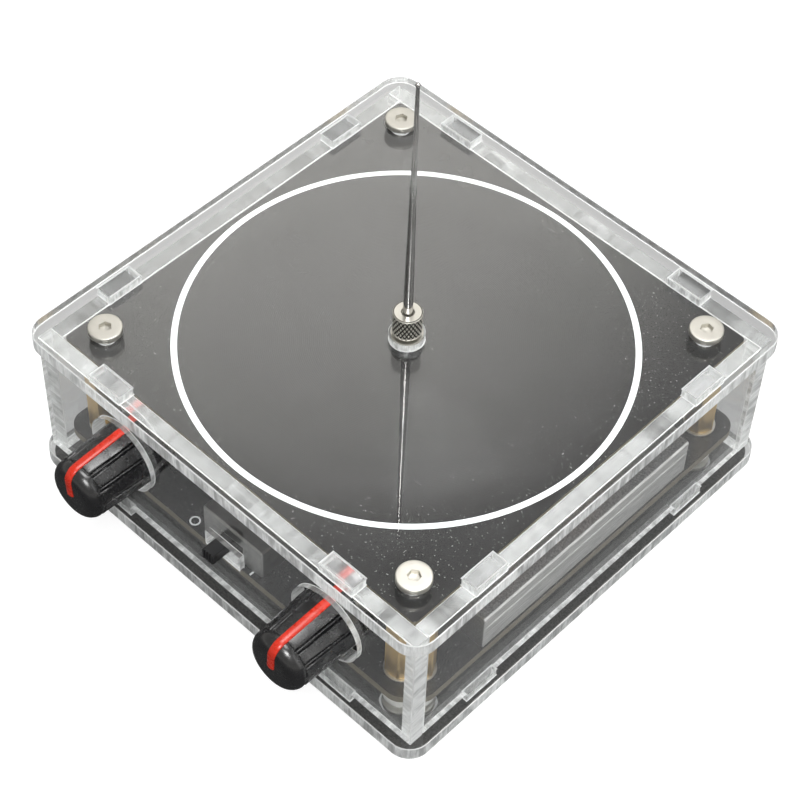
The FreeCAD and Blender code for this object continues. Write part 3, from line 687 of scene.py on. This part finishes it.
def brushed_aluminium():
    """Aluminium bar: rolled lines along its length on its sides, and a speckled sawn skin on its top."""
    colour = chosen("metal").aluminium
    bar = Finish("Brushed aluminium", Metallic=1.0)
    lines = bar.noise(0.14 * MM, 3.0, bar.stretched(1, 0.04, 1))
    top = bar.math("GREATER_THAN", bar.facing_up(), 0.8)
    drawn = bar.math("MULTIPLY", bar.math("SUBTRACT", 1, top), bar.range(lines, 0.3, 0.7, 0.0, 1.0))
    speckled = bar.math("MULTIPLY", top, bar.range(bar.noise(0.25 * MM, 4.0), 0.35, 0.65, 0.0, 1.0))
    share = bar.math("ADD", speckled, drawn)
    bar.colour([part * 0.7 for part in colour], [part * 1.4 for part in colour], share)
    bar.roughness(0.3, 0.45, 0.5 * MM, 4.0)
    return bar.relief(lines, 0.01 * MM)


def ceramic():
    """Chip resistors and capacitors."""
    chip = Finish("Chip ceramic")
    chip.colour((0.10, 0.085, 0.07), (0.30, 0.22, 0.14), chip.range(chip.noise(1.7 * MM, 0.0), 0.45, 0.55, 0, 1))
    return chip.roughness(0.35, 0.5, 0.3 * MM)


# ---- case --------------------------------------------------------------------------------------------

def plate_patch(under, top, centre):
    """A plate between two heights, with the slots for the walls' tabs, the screw holes and those in its centre."""
    case = chosen("case")
    half, gap = PLATE_HALF, 0.1 * MM
    reach = case.tab_width / 2 + gap
    near, far = WALL_INNER - gap, WALL_OUTER + gap
    holes = [circle(x, y, SCREW_HOLE, 48) for x, y in CORNERS]
    for place in (-case.tab_centre, case.tab_centre):
        for low_side, high_side in ((near, far), (-far, -near)):
            holes.append(rectangle(place - reach, place + reach, low_side, high_side))
            holes.append(rectangle(low_side, high_side, place - reach, place + reach))
    outline = rounded_rectangle(-half, half, -half, half, case.corner, 12)
    return flat_sheet(outline, holes + centre, top - under, case.edge_bevel).moved(0, 0, under)


def wall_patch(facing, half, holes):
    """A wall from the bottom plate to the top plate with its tabs, made flat and stood up to face an axis."""
    case = chosen("case")
    tab = case.tab_width / 2
    outline = []
    for end, body, sign in ((UNDER_Z, FLOOR_Z, 1), (TOP_Z, CEILING_Z, -1)):
        outline.append((-sign * half, body))
        for place in (-sign * case.tab_centre, sign * case.tab_centre):
            outline += [(place - sign * tab, body), (place - sign * tab, end),
                        (place + sign * tab, end), (place + sign * tab, body)]
        outline.append((sign * half, body))
    sheet = flat_sheet(np.array(outline), holes, SHEET, case.edge_bevel).turned_to(facing)
    return sheet.moved(*(TURNS[facing] @ np.array([0, 0, WALL_INNER])))


class TRANSFORMER_OT_case(bpy.types.Operator):
    """Builds the clear plates and walls and gives the foam pad its finish"""
    bl_idname = "transformer.case"
    bl_label = "Clear case"

    def execute(self, context):
        # The bevels take the painted highlight rim.
        face, rim = finish(acrylic_face), finish(acrylic_painted_highlight_rim)
        cut = {axis: finish(acrylic_cut, "Cut edge " + axis, across)
               for axis, across in (("x", (0.04, 1, 1)), ("y", (1, 0.04, 1)), ("z", (1, 1, 0.04)))}
        front = [circle(*hole, 96) for hole in KNOB_HOLES] + [rounded_rectangle(*SWITCH_SLOT, 0.25 * MM, 4)]
        back = [circle(*hole, 72) for hole in SOCKET_HOLES]
        sheets = [("top_plate", "z", plate_patch(CEILING_Z + AIR, TOP_Z, [circle(0, 0, POST_HOLE, 72)])),
                  ("bottom_plate", "z", plate_patch(UNDER_Z, FLOOR_Z - AIR, [])),
                  ("front_wall", "y", wall_patch("-Y", WALL_OUTER, front)),
                  ("back_wall", "y", wall_patch("+Y", WALL_OUTER, back)),
                  ("left_wall", "x", wall_patch("-X", WALL_INNER - AIR, [])),
                  ("right_wall", "x", wall_patch("+X", WALL_INNER - AIR, []))]
        for node, axis, patch in sheets:
            build("clear_" + node, [patch], [face, cut[axis], rim], "case", [node])
        dress(finish(foam), "base_pad")
        return {"FINISHED"}


# ---- fasteners ---------------------------------------------------------------------------------------

def socket_screw(length, sides=72):
    """A thin-headed socket screw that points down: head above z = 0, threaded shank below it."""
    hexagonal = hexagon(2.0 * MM, around(sides))
    top, floor, head, shank = 1.1 * MM, 0.3 * MM, 3.0 * MM, 1.45 * MM
    rings = [(0, floor - 0.12 * MM), (hexagonal * 0.55, floor), (hexagonal, floor), (hexagonal, top - 0.06 * MM),
             (hexagonal + 0.06 * MM, top), (2.0 * MM, top)]
    rings += rounded_edge(head - 0.2 * MM, top - 0.2 * MM, 0.2 * MM, 90, 0, 5)
    rings += rounded_edge(head - 0.06 * MM, 0.06 * MM, 0.06 * MM, 0, -90, 2)
    rings += [(shank, 0)]
    rings += thread_rings(shank, 0.5 * MM, 0.22 * MM, -0.2 * MM, 0.5 * MM - length, sides, 6)
    rings += [(1.05 * MM, -length), (0, -length)]
    return turned(rings[::-1], sides)


def hex_standoff(z0, z1, sides=96):
    """A hexagonal standoff with turned ends and a bore: the outline is the smaller of hexagon and cone."""
    flats = hexagon(5.0 * MM, around(sides))
    foot = [(np.minimum(flats, 2.46 * MM), z0), (np.minimum(flats, 2.88 * MM), z0 + 0.42 * MM)]
    outside = foot + [(radius, z0 + z1 - z) for radius, z in foot[::-1]]
    bore = thread_rings(1.62 * MM, 0.5 * MM, 0.12 * MM, z1 - 0.3 * MM, z0 + 0.3 * MM, sides, 4)
    return turned(outside + [(1.75 * MM, z1)] + bore + [(1.75 * MM, z0), foot[0]], sides)


def ring_patch(outer, inner, z0, z1, edge, sides=64):
    """A round sleeve with small rounded rims: a closed outline turned about the axis."""
    out, within, under, over = outer - edge, inner + edge, z0 + edge, z1 - edge
    loop = []
    for start, corner in enumerate(((out, under), (out, over), (within, over), (within, under))):
        loop += rounded_edge(*corner, edge, 90 * start - 90, 90 * start, 3)
    return turned(loop + [loop[0]], sides)


class TRANSFORMER_OT_fasteners(bpy.types.Operator):
    """Builds the screws, standoffs, washers and spacers"""
    bl_idname = "transformer.fasteners"
    bl_label = "Screws, standoffs and spacers"

    def execute(self, context):
        plated, still = finish("Nickel plate"), (0, 0, 0, 0)
        above = socket_screw(TOP_Z - low("top_screws")[2]).moved(0, 0, TOP_Z + AIR / 3)
        below = socket_screw(high("bottom_screws")[2] - UNDER_Z).turned_to("-Z")
        sleeve = {node: ring_patch(2.95 * MM, SCREW_HOLE, low(node)[2], high(node)[2], edge)
                  for node, edge in (("nylon_spacers", 0.15 * MM), ("foot_washers", 0.05 * MM))}
        standoff = hex_standoff(low("brass_standoffs")[2], high("brass_standoffs")[2])
        for name, patch, turns, material, slot, node in (
                ("socket_screws", above, SCREW_TURNS, plated, "nickel", "top_screws"),
                ("under_screws", below.moved(0, 0, UNDER_Z - AIR / 3), SCREW_TURNS, plated, "nickel", "bottom_screws"),
                ("hex_standoffs", standoff, still, finish("Brass"), "brass", "brass_standoffs"),
                ("round_spacers", sleeve["nylon_spacers"], still, finish("Nylon"), "nylon", "nylon_spacers"),
                ("thin_washers", sleeve["foot_washers"], still, plated, "nickel", "foot_washers")):
            four = [patch.copy().rolled(turn).moved(x, y, 0) for turn, (x, y) in zip(turns, CORNERS)]
            build(name, four, [material], "case", [node])
        return {"FINISHED"}


# ---- coil board and needle ---------------------------------------------------------------------------

def spiral_line(inner, outer, turns, base, height, share=0.62, steps=120):
    """A flat spiral line: its radius grows evenly with the angle, and its section is a low closed ridge with
    sloping sides that fills a share of the pitch and grows lower near both ends."""
    count = turns * steps
    angle = 2 * np.pi * np.arange(count + 1) / steps
    pitch = (outer - inner) / (turns + 1)
    radius = inner + pitch * (angle / (2 * np.pi) + 0.5)
    across = np.array([-0.5, -0.32, 0.32, 0.5]) * share * pitch
    rise = np.clip(np.minimum(radius - inner, outer - radius) / (0.2 * (outer - inner)), 0.05, 1)
    up = height * rise[:, None] * np.array([0, 1, 1, 0])
    r = radius[:, None] + across
    points = np.stack([r * np.cos(angle)[:, None], r * np.sin(angle)[:, None], base + up], -1)
    ends = [[3, 2, 1, 0], [4 * count, 4 * count + 1, 4 * count + 2, 4 * count + 3]]
    return Patch(points, grid_faces(count + 1, 4).tolist() + ends)


class TRANSFORMER_OT_coil_board(bpy.types.Operator):
    """Builds the coil board's spiral winding and gives the board, its ring and the loop below their finish"""
    bl_idname = "transformer.coil_board"
    bl_label = "Coil board"

    def execute(self, context):
        outer, base = high("spiral_winding")[0], high("coil_board")[2]
        line = spiral_line(5.0 * MM, outer, chosen("coil").turns, base + 0.002 * MM, 0.008 * MM)
        film = ring_patch(outer + 0.1 * MM, 7.9 * MM, low("spiral_winding")[2], base + 0.003 * MM, 0.001 * MM, 128)
        film.finishes += 1
        build("spiral_line", [line, film], [finish("Masked winding"), finish(solder_mask)], "case",
              ["spiral_winding"], sharp=20)
        dress(finish(solder_mask), "coil_board")
        dress(finish("White print"), "ring_print")
        dress(finish(bare_copper), "primary_loop")
        return {"FINISHED"}


def knurled_nut(z0, z1, radius, sides=448, rows=96):
    """The thumb nut: a cylinder less two crossing sets of V-shaped helical cuts. The cut at a point is the
    deeper of two triangle waves, of the angle plus and minus the height over the radius times a lean."""
    angle = around(sides)
    count, slope, depth, thread, hole = 22, 0.58, 0.28 * MM, 1.6 * MM, 0.98 * MM
    heights = np.linspace(z0 + 0.4 * MM, z1 - 0.22 * MM, rows)
    lean = slope * (heights - z0)[:, None] / radius
    waves = [np.abs(2 * ((count * (angle + sign * lean) / (2 * np.pi)) % 1) - 1) for sign in (-1, 1)]
    cut = np.maximum(*waves) ** 1.5
    end = np.clip(np.minimum(heights - heights[0], heights[-1] - heights) / (0.15 * MM), 0, 1)[:, None]
    ridges = radius - depth * cut * end - 0.02 * MM * (1 - end)
    rings = [(thread, z0), (radius - 0.3 * MM, z0), (radius - 0.04 * MM, z0 + 0.25 * MM)]
    rings += list(zip(ridges, heights))
    rings += [(radius - 0.02 * MM, z1 - 0.14 * MM), (radius - 0.14 * MM, z1), (1.2 * MM, z1), (1.1 * MM, z1 - 0.1 * MM),
              (1.1 * MM, z1 - 0.7 * MM), (hole, z1 - 0.72 * MM), (hole, z0 + 3.5 * MM), (thread, z0 + 3.4 * MM),
              (thread, z0)]
    return turned(rings, sides)


def needle_patch(sides=40):
    """The needle: a collar, a slender cone and a small ball, turned about the axis."""
    base, tip = low("needle")[2], high("needle")[2]
    ball, neck, root, collar = 0.42 * MM, 0.3 * MM, 0.88 * MM, 1.45 * MM
    shank = base + 0.7 * MM
    rings = [(0, base), (collar - 0.1 * MM, base), (collar, base + 0.1 * MM), (collar, shank - 0.1 * MM),
             (collar - 0.1 * MM, shank), (root, shank)]
    join = math.asin(neck / ball)
    centre = tip - ball
    end = centre - ball * math.cos(join)
    share = np.linspace(0, 1, 30)[1:]
    rings += list(zip(root + (neck - root) * share, shank + (end - shank) * share))
    swing = np.linspace(-np.pi / 2 + join, np.pi / 2, 12)[1:]
    rings += [(ball * math.cos(a), centre + ball * math.sin(a)) for a in swing[:-1]] + [(0, tip)]
    return turned(rings, sides)


class TRANSFORMER_OT_needle(bpy.types.Operator):
    """Builds the discharge needle and the knurled nut that clamps it on its post"""
    bl_idname = "transformer.needle"
    bl_label = "Needle and thumb nut"

    def execute(self, context):
        radius = high("thumb_nut")[0] + 0.12 * MM
        nut = knurled_nut(low("thumb_nut")[2], high("thumb_nut")[2], radius)
        build("knurled_nut", [nut], [finish(knurled_nickel_painted_shade, radius)], "nut",
              ["thumb_nut"], sharp=40)
        build("discharge_needle", [needle_patch()], [finish(steel)], "rod", ["needle"])
        dress(finish("Nickel plate"), "needle_post")
        return {"FINISHED"}


# ---- knobs -------------------------------------------------------------------------------------------

def knob_profile():
    """The knob's side and crown as (radius, height, normal): skirt, taper, quarter round and end face. Heights
    run from the axis of the CAD frame towards the front."""
    front_radius, back_radius = 5.52 * MM, 6.13 * MM
    skirt, shoulder, bend = KNOB_SKIRT, KNOB_END - KNOB_BEND, KNOB_BEND
    shoulder_radius = front_radius + bend / (KNOB_END - skirt) * (back_radius - front_radius)
    skirt_z = np.linspace(KNOB_BACK, skirt, 9)
    taper = np.append(np.linspace(0, 0.93, 11)[1:], [0.95, 0.962, 1.0])
    swing = np.linspace(0, np.pi / 2, 12)[1:]
    radius = np.concatenate([np.full(9, back_radius), back_radius + taper * (shoulder_radius - back_radius),
                             shoulder_radius - bend + bend * np.cos(swing)])
    height = np.concatenate([skirt_z, skirt + taper * (shoulder - skirt), shoulder + bend * np.sin(swing)])
    lean = np.concatenate([np.zeros(22), swing])
    return radius, height, np.stack([np.cos(lean), np.sin(lean)], -1)


def knob_patch():
    """The knob: its turned profile, less flat facets and pairs of fine lines. At a point the radius is
    multiplied by the facet's chord over the circle, and falls by two bell curves either side of each rib."""
    settings, facet, front = chosen("knob"), np.radians(30), KNOB_END - KNOB_BEND
    half_facet = np.radians([0, 0.8, 1.5, 2.1, 2.7, 3.3, 3.9, 4.5, 5.1, 6.5, 9, 12, 15])
    within = np.concatenate([half_facet, facet - half_facet[-2:0:-1]])
    angles = np.concatenate([np.radians(90) + facet * index + within for index in range(12)])
    from_rib = np.tile(np.minimum(within, facet - within), 12)
    radius, height, _ = knob_profile()
    fade = np.clip((front + 0.5 * MM - height) / (1.6 * MM), 0, 1)
    fade = (fade * fade * (3 - 2 * fade))[:, None]
    flat = 1 - settings.flatness * fade * (1 - math.cos(facet / 2) / np.cos(facet / 2 - from_rib))
    arc = radius[:, None] * from_rib
    line = np.exp(-((arc - 0.3 * MM) / (0.11 * MM)) ** 2)
    start = np.clip((front - 0.35 * MM - height) / (0.5 * MM), 0, 1)[:, None]
    panels = 0.2 * MM * (height < front - 0.4 * MM)[:, None] * np.clip((arc - 0.42 * MM) / (0.12 * MM), 0, 1)
    side = (radius[:, None] + 0.02 * MM * fade) * flat - settings.groove_depth * line * start
    side = np.minimum(side + panels - 0.15 * MM * fade, radius[:, None] + 0.04 * MM)
    rings = [(3.06 * MM, height[0] + 13.3 * MM), (3.06 * MM, height[0]), (radius[0] - 0.5 * MM, height[0]),
             (radius[0] - 0.2 * MM, height[0] + 0.02 * MM)]
    rings += list(zip(side, height + np.array([0.2 * MM] + [0] * (len(height) - 1))))
    rings += [(2.0 * MM, height[-1]), (1.0 * MM, height[-1]), (0, height[-1])]
    return turned([(0, height[0] + 13.3 * MM)] + rings, angles=angles)


def pointer_patch():
    """The pointer: a strip with an arched top carried along the knob's profile, standing proud of it
    and ending near the knob's axis."""
    radius, height, normal = knob_profile()
    radius = np.append(radius, [2.0 * MM, 1.0 * MM, 0.3 * MM])
    height = np.append(height, [height[-1]] * 3)
    normal = np.concatenate([normal, np.tile(normal[-1], (3, 1))])
    half, proud, depth = 0.8 * MM, 0.3 * MM, -0.6 * MM
    swing = np.linspace(0, np.pi, 9)
    across = np.append(half * np.cos(swing), [-half, half])
    up = np.append(proud * np.sin(swing), [depth, depth])
    points = np.stack([np.broadcast_to(across, (len(radius), len(across))),
                       radius[:, None] + up * normal[:, :1], height[:, None] + up * normal[:, 1:]], -1)
    rows, columns = points.shape[:2]
    faces = grid_faces(rows, columns).tolist()
    faces += [list(range(columns))[::-1], list(range((rows - 1) * columns, rows * columns))]
    return Patch(points, faces)


class TRANSFORMER_OT_knobs(bpy.types.Operator):
    """Builds both knobs with their facets and red pointers"""
    bl_idname = "transformer.knobs"
    bl_label = "Knobs"

    def execute(self, context):
        soft, red = finish("Knob plastic"), finish("Pointer plastic")
        for side, tilt in KNOB_TILTS.items():
            body = side + "_knob"
            x, _, z = KNOB_JOINT[body]
            knob, strip = (patch().rolled(tilt).turned_to("-Y").moved(x, 0, z) for patch in (knob_patch, pointer_patch))
            build("faceted_knob_" + side, [knob], [soft], body, ["knob_" + side], sharp=50)
            build("red_pointer_" + side, [strip], [red], body, ["pointer_" + side])
            dress(finish("Plated sheet"), "pot_shaft_" + side, "pot_bracket_" + side)
            dress(finish("Black moulding"), "pot_body_" + side)
        return {"FINISHED"}


class TRANSFORMER_OT_switch(bpy.types.Operator):
    """Gives the slide switch its finishes and prints the round and the straight mark beside it"""
    bl_idname = "transformer.switch"
    bl_label = "Slide switch"

    def execute(self, context):
        dress(finish("Switch shell"), "switch_shell")
        dress(finish("Black moulding"), "switch_base", "switch_lever")
        height = 0.04 * MM
        outlines = [(circle(*RING_MARK, 40), [circle(*RING_MARK_INSIDE, 40)]), (rectangle(*BAR_MARK), [])]
        marks = [flat_sheet(outer, holes, height, height / 4, 0, 0, 0).moved(0, 0, DECK_Z + 0.01 * MM)
                 for outer, holes in outlines]
        build("switch_marks", marks, [finish("White print")], "case")
        return {"FINISHED"}


def bar_patch(lowest, highest, edge):
    """The aluminium bar along Y: a rectangle with its edges cut off at an angle and a shallow groove along its
    outer side, carried from end to end."""
    (x0, y0, z0), (x1, y1, z1) = lowest, highest
    groove, depth, line = 0.22 * MM, 0.16 * MM, z0 + 0.66 * (z1 - z0)
    outline = [(x1 - edge, z1), (x0 + edge, z1), (x0, z1 - edge), (x0, z0 + edge), (x0 + edge, z0), (x1 - edge, z0),
               (x1, z0 + edge), (x1, line - groove), (x1 - depth, line), (x1, line + groove), (x1, z1 - edge)]
    across = np.array(outline) * (-1, 1)
    return flat_sheet(across[::-1], [], y1 - y0, 0.12 * MM, 0, 0, 0).turned_to("+Y").moved(0, y0, 0)


class TRANSFORMER_OT_heat_sink(bpy.types.Operator):
    """Builds the heat sink's bar and gives the transistors clamped to it their finishes"""
    bl_idname = "transformer.heat_sink"
    bl_label = "Heat sink and transistors"

    def execute(self, context):
        bar = bar_patch(low("heat_sink"), high("heat_sink"), 0.3 * MM)
        build("grooved_bar", [bar], [finish(brushed_aluminium)], "case", ["heat_sink"], sharp=20)
        dress(finish("Insulating pad"), "thermal_pads")
        dress(finish("Tin"), "transistor_tabs")
        dress(finish("Black moulding"), "transistor_packages")
        dress(finish("Plated sheet"), "clamp_strap")
        dress(finish("Nickel plate"), "clamp_screw")
        return {"FINISHED"}


class TRANSFORMER_OT_sockets(bpy.types.Operator):
    """Gives the power and audio sockets in the back their finishes"""
    bl_idname = "transformer.sockets"
    bl_label = "Sockets"

    def execute(self, context):
        dress(finish("Black moulding"), "power_jack", "audio_jack")
        dress(finish("Nickel plate"), "power_jack_pin")
        return {"FINISHED"}


# ---- driver board ------------------------------------------------------------------------------------

def coil_of_wire(centre, ring, loop, wire, turns, steps=20):
    """One wire wound round a ring: its middle line turns round the ring's section as it goes round the ring."""
    share = np.arange(turns * steps) / (turns * steps)
    round_ring, round_section = 2 * np.pi * share, 2 * np.pi * turns * share
    out = ring + loop * np.cos(round_section)
    path = np.stack([out * np.cos(round_ring), out * np.sin(round_ring), loop * np.sin(round_section)], -1)
    return closed_tube(path + centre, wire, 8)


def ring_core(centre, ring, section, sides=64, steps=24):
    """A ring of round section."""
    swing = np.append(around(steps), 0)
    return turned([(ring + section * math.cos(a), section * math.sin(a)) for a in swing], sides).moved(*centre)


def can_patch(base, top, radius=5.0 * MM):
    """A sleeved can: rolled groove near the foot, sleeve turned in over a metal top with a shallow dish."""
    rings = [(0, base), (radius - 0.5 * MM, base), (radius - 0.1 * MM, base + 0.3 * MM), (radius, base + 0.8 * MM)]
    swing = np.linspace(0, np.pi, 9)
    rings += [(radius - 0.35 * MM * math.sin(a), base + (2.2 - 0.6 * math.cos(a)) * MM) for a in swing]
    rings += [(radius, top - 1.0 * MM)] + rounded_edge(radius - 0.6 * MM, top - 0.6 * MM, 0.6 * MM, 0, 80, 5)
    rings += [(radius - 1.15 * MM, top), (radius - 1.2 * MM, top - 0.08 * MM), (0, top - 0.08 * MM)]
    finishes = np.repeat([0] * (len(rings) - 2) + [1], 48)
    return turned(rings, 48, finishes)


def strap_along(path, side, width, thickness):
    """A flat strap: a rectangle of width and thickness carried along a path, its width along the side."""
    up = np.cross(along(np.gradient(path, axis=0)), side)
    corners = [(-0.5, -0.5), (0.5, -0.5), (0.5, 0.5), (-0.5, 0.5)]
    points = np.stack([path + a * width * side + b * thickness * up for a, b in corners], 1)
    rows = len(path)
    ends = [[0, 3, 2, 1], [4 * rows - 4, 4 * rows - 3, 4 * rows - 2, 4 * rows - 1]]
    return Patch(points, grid_faces(rows, 4).tolist() + ends)


def chip_legs(x, y, foot):
    """Eight bent legs of a small chip: out of the body, down and out again along the board."""
    out = np.array([1.85, 2.15, 2.3, 2.38, 2.42, 2.5, 2.66, 2.93]) * MM
    up = np.array([0.75, 0.75, 0.68, 0.5, 0.28, 0.12, 0.08, 0.08]) * MM
    legs = []
    for side in (-1, 1):
        for step in range(4):
            row = np.full(len(out), y + (step - 1.5) * 1.27 * MM)
            path = np.stack([x + side * out, row, foot + up], -1)
            legs.append(strap_along(path, np.array([0.0, side, 0.0]), 0.4 * MM, 0.15 * MM))
    return legs


class TRANSFORMER_OT_driver_board(bpy.types.Operator):
    """Builds what stands on the driver board and gives the board its finish"""
    bl_idname = "transformer.driver_board"
    bl_label = "Driver board"

    def execute(self, context):
        can = can_patch(low("electrolytic_capacitors")[2], high("electrolytic_capacitors")[2])
        centre, ring = middle("choke_core"), 6.5 * MM
        legs = [leg for x, y in CHIP_PLACES for leg in chip_legs(x, y, DECK_Z)]
        tin = finish("Tin")
        build("sleeved_cans", [can.copy().moved(x, y, 0) for x, y in CAN_PLACES],
              [finish("Can sleeve"), tin], "case", ["electrolytic_capacitors"])
        build("wound_wire", [coil_of_wire(centre, ring, 3.1 * MM, 0.35 * MM, 28)],
              [finish("Enamelled wire")], "case", ["choke_winding"])
        build("ring_core", [ring_core(centre, ring, 2.6 * MM)], [finish("Choke core")], "case",
              ["choke_core"])
        build("bent_chip_legs", legs, [tin], "case", ["chip_pins"], sharp=20)
        dress(finish(solder_mask), "driver_board")
        dress(tin, "soldered_leads", "link_pins")
        dress(finish("Black moulding"), "link_strip", "chips")
        dress(finish("Plated sheet"), "crystal", "module_shield")
        dress(finish("Film capacitor case"), "film_capacitor")
        dress(finish("Green mask"), "audio_module")
        dress(finish(ceramic), "chip_parts")
        dress(finish("Lamp lens"), "indicator_lamps")
        return {"FINISHED"}


# ---- stage -------------------------------------------------------------------------------------------

# Place, size and setting of every light, and the way to the middle of the bright window that gloss and glass show
LIGHTS = {"Key light": ((-0.02, 0.20, 0.95), 0.42, "key_power"),
          "Front light": ((0.40, -0.445, 0.86), 0.3, "front_power"),
          "Right light": ((0.80, 0.42, 0.48), 0.9, "right_power")}
WINDOW = (-0.5405, 0.5219, 0.66)


class TRANSFORMER_OT_stage(bpy.types.Operator):
    """Sets up the pale floor, the soft lights, the white surroundings and the camera"""
    bl_idname = "transformer.stage"
    bl_label = "Stage"

    def execute(self, context):
        settings = chosen("stage")
        context.scene.view_settings.view_transform = "Standard"
        self.floor()
        self.surroundings(settings.sky)
        for name, (place, size, power) in LIGHTS.items():
            self.lamp(name, place, size, getattr(settings, power))
        self.camera(settings)
        return {"FINISHED"}

    def floor(self):
        """A wide plain floor under the pad, white to the eye but for a faint shadow."""
        mesh = bpy.data.meshes.new("Floor")
        u, v = np.meshgrid(np.linspace(-1.5, 1.5, 7), np.linspace(-1.5, 1.5, 7))
        mesh.from_pydata(np.stack([u, v, 0 * u - 0.00002], -1).reshape(-1, 3), [],
                         grid_faces(7, 7, wrap_columns=False).tolist())
        floor = bpy.data.objects.new("Floor", mesh)
        bpy.context.scene.collection.objects.link(floor)
        ground = Finish("White floor", Roughness=0.9)
        grey = {"Is Camera Ray": 0.30, "Is Transmission Ray": 0.20, "Is Diffuse Ray": 0.45, "Is Glossy Ray": 0.08}
        ground.set(ground.shader, "Base Color", ground.by_ray(grey))
        strength = ground.by_ray({"Is Camera Ray": 0.82, "Is Transmission Ray": 0.28})
        white = ground.node("ShaderNodeEmission", [("Color", (1, 1, 1)), ("Strength", strength)])
        added = ground.node("ShaderNodeAddShader", [(0, ground.shader.outputs[0]), (1, white.outputs[0])])
        ground.set(ground.output, "Surface", added.outputs[0])
        mesh.materials.append(ground.material)

    def surroundings(self, sky):
        """A white backdrop for the eye, an even sky for the light, and for gloss and glass a dim room with one
        soft bright window high behind the object, pale near the horizon."""
        world = bpy.context.scene.world or bpy.data.worlds.new("Surroundings")
        bpy.context.scene.world = world
        world.use_nodes = True
        nodes = Nodes(world.node_tree)
        way = nodes.node("ShaderNodeTexCoord").outputs["Generated"]
        height = nodes.node("ShaderNodeSeparateXYZ", [(0, way)]).outputs["Z"]
        towards = nodes.node("ShaderNodeVectorMath", [(0, way), (1, WINDOW)], operation="DOT_PRODUCT")
        window = nodes.range(towards.outputs["Value"], 0.969, 0.9985, 0.38, 1.95, interpolation_type="SMOOTHSTEP")
        above = nodes.range(height, 0.1, 0.3, 0.0, 1.0, interpolation_type="SMOOTHSTEP")
        near_horizon = nodes.math("MULTIPLY", nodes.math("SUBTRACT", 1.0, above), 0.62)
        strength = nodes.math("ADD", near_horizon, nodes.math("MULTIPLY", above, window))
        even, room, white = (
            nodes.node("ShaderNodeBackground", [("Color", colour), ("Strength", level)]).outputs[0]
            for colour, level in (((1, 1, 1), sky), ((1, 0.98, 0.93), strength), ((1, 1, 1), 1.0)))
        lit = nodes.mixed(nodes.by_ray({"Is Glossy Ray": 1.0, "Is Transmission Ray": 1.0}), even, room)
        seen = nodes.mixed(nodes.by_ray({"Is Camera Ray": 1.0}), lit, white)
        nodes.set(nodes.tree.nodes["World Output"], "Surface", seen)

    def lamp(self, name, place, size, power):
        """A square soft light that faces the object."""
        data = bpy.data.lights.new(name, "AREA")
        data.shape, data.size, data.energy = "SQUARE", size, power
        lamp = bpy.data.objects.new(name, data)
        bpy.context.scene.collection.objects.link(lamp)
        lamp.location = place
        lamp.rotation_euler = (-Vector(place)).to_track_quat("-Z", "Y").to_euler()

    def camera(self, settings):
        """The camera, aimed at a point and turned about its own axis."""
        data = bpy.data.cameras.new("Camera")
        data.lens, data.sensor_width, data.sensor_fit = settings.camera_lens, 36.0, "HORIZONTAL"
        data.clip_start, data.clip_end = 0.01, 20.0
        camera = bpy.data.objects.new("Camera", data)
        bpy.context.scene.collection.objects.link(camera)
        place = Vector(settings.camera_place)
        back = (place - Vector(settings.camera_aim)).normalized()
        right = Vector((0, 0, 1)).cross(back).normalized()
        up = back.cross(right)
        c, s = math.cos(settings.camera_roll), math.sin(settings.camera_roll)
        across, above = c * right + s * up, c * up - s * right
        turn = Matrix((across, above, back)).transposed().to_4x4()
        camera.matrix_world = Matrix.Translation(place) @ turn
        bpy.context.scene.camera = camera


# ---- add-on ------------------------------------------------------------------------------------------

STEPS = (TRANSFORMER_OT_stage, TRANSFORMER_OT_case, TRANSFORMER_OT_fasteners, TRANSFORMER_OT_coil_board,
         TRANSFORMER_OT_needle, TRANSFORMER_OT_knobs, TRANSFORMER_OT_switch, TRANSFORMER_OT_heat_sink,
         TRANSFORMER_OT_sockets, TRANSFORMER_OT_driver_board)


class TRANSFORMER_PT_panel(bpy.types.Panel):
    """Lists the sizes, the colours and the steps that build the transformer"""
    bl_idname = "TRANSFORMER_PT_panel"
    bl_label = "Resonant transformer"
    bl_space_type = "VIEW_3D"
    bl_region_type = "UI"
    bl_category = "Transformer"

    def draw(self, context):
        layout = self.layout
        for name, group in SETTINGS.items():
            box = layout.box()
            box.label(text=name.capitalize())
            for setting in group.__annotations__:
                box.prop(chosen(name), setting)
        for step in STEPS:
            layout.operator(step.bl_idname)


CLASSES = (*SETTINGS.values(), *STEPS, TRANSFORMER_PT_panel)


def register():
    """Adds the settings, the steps and the panel to Blender."""
    for entry in CLASSES:
        bpy.utils.register_class(entry)
    for name, group in SETTINGS.items():
        setattr(bpy.types.Scene, "transformer_" + name, PointerProperty(type=group))


def unregister():
    """Takes them out again."""
    for name in SETTINGS:
        delattr(bpy.types.Scene, "transformer_" + name)
    for entry in reversed(CLASSES):
        bpy.utils.unregister_class(entry)


def main():
    """Builds every piece in order."""
    register()
    for step in STEPS:
        group, name = step.bl_idname.split(".")
        getattr(getattr(bpy.ops, group), name)()


if __name__ == "__main__":
    main()
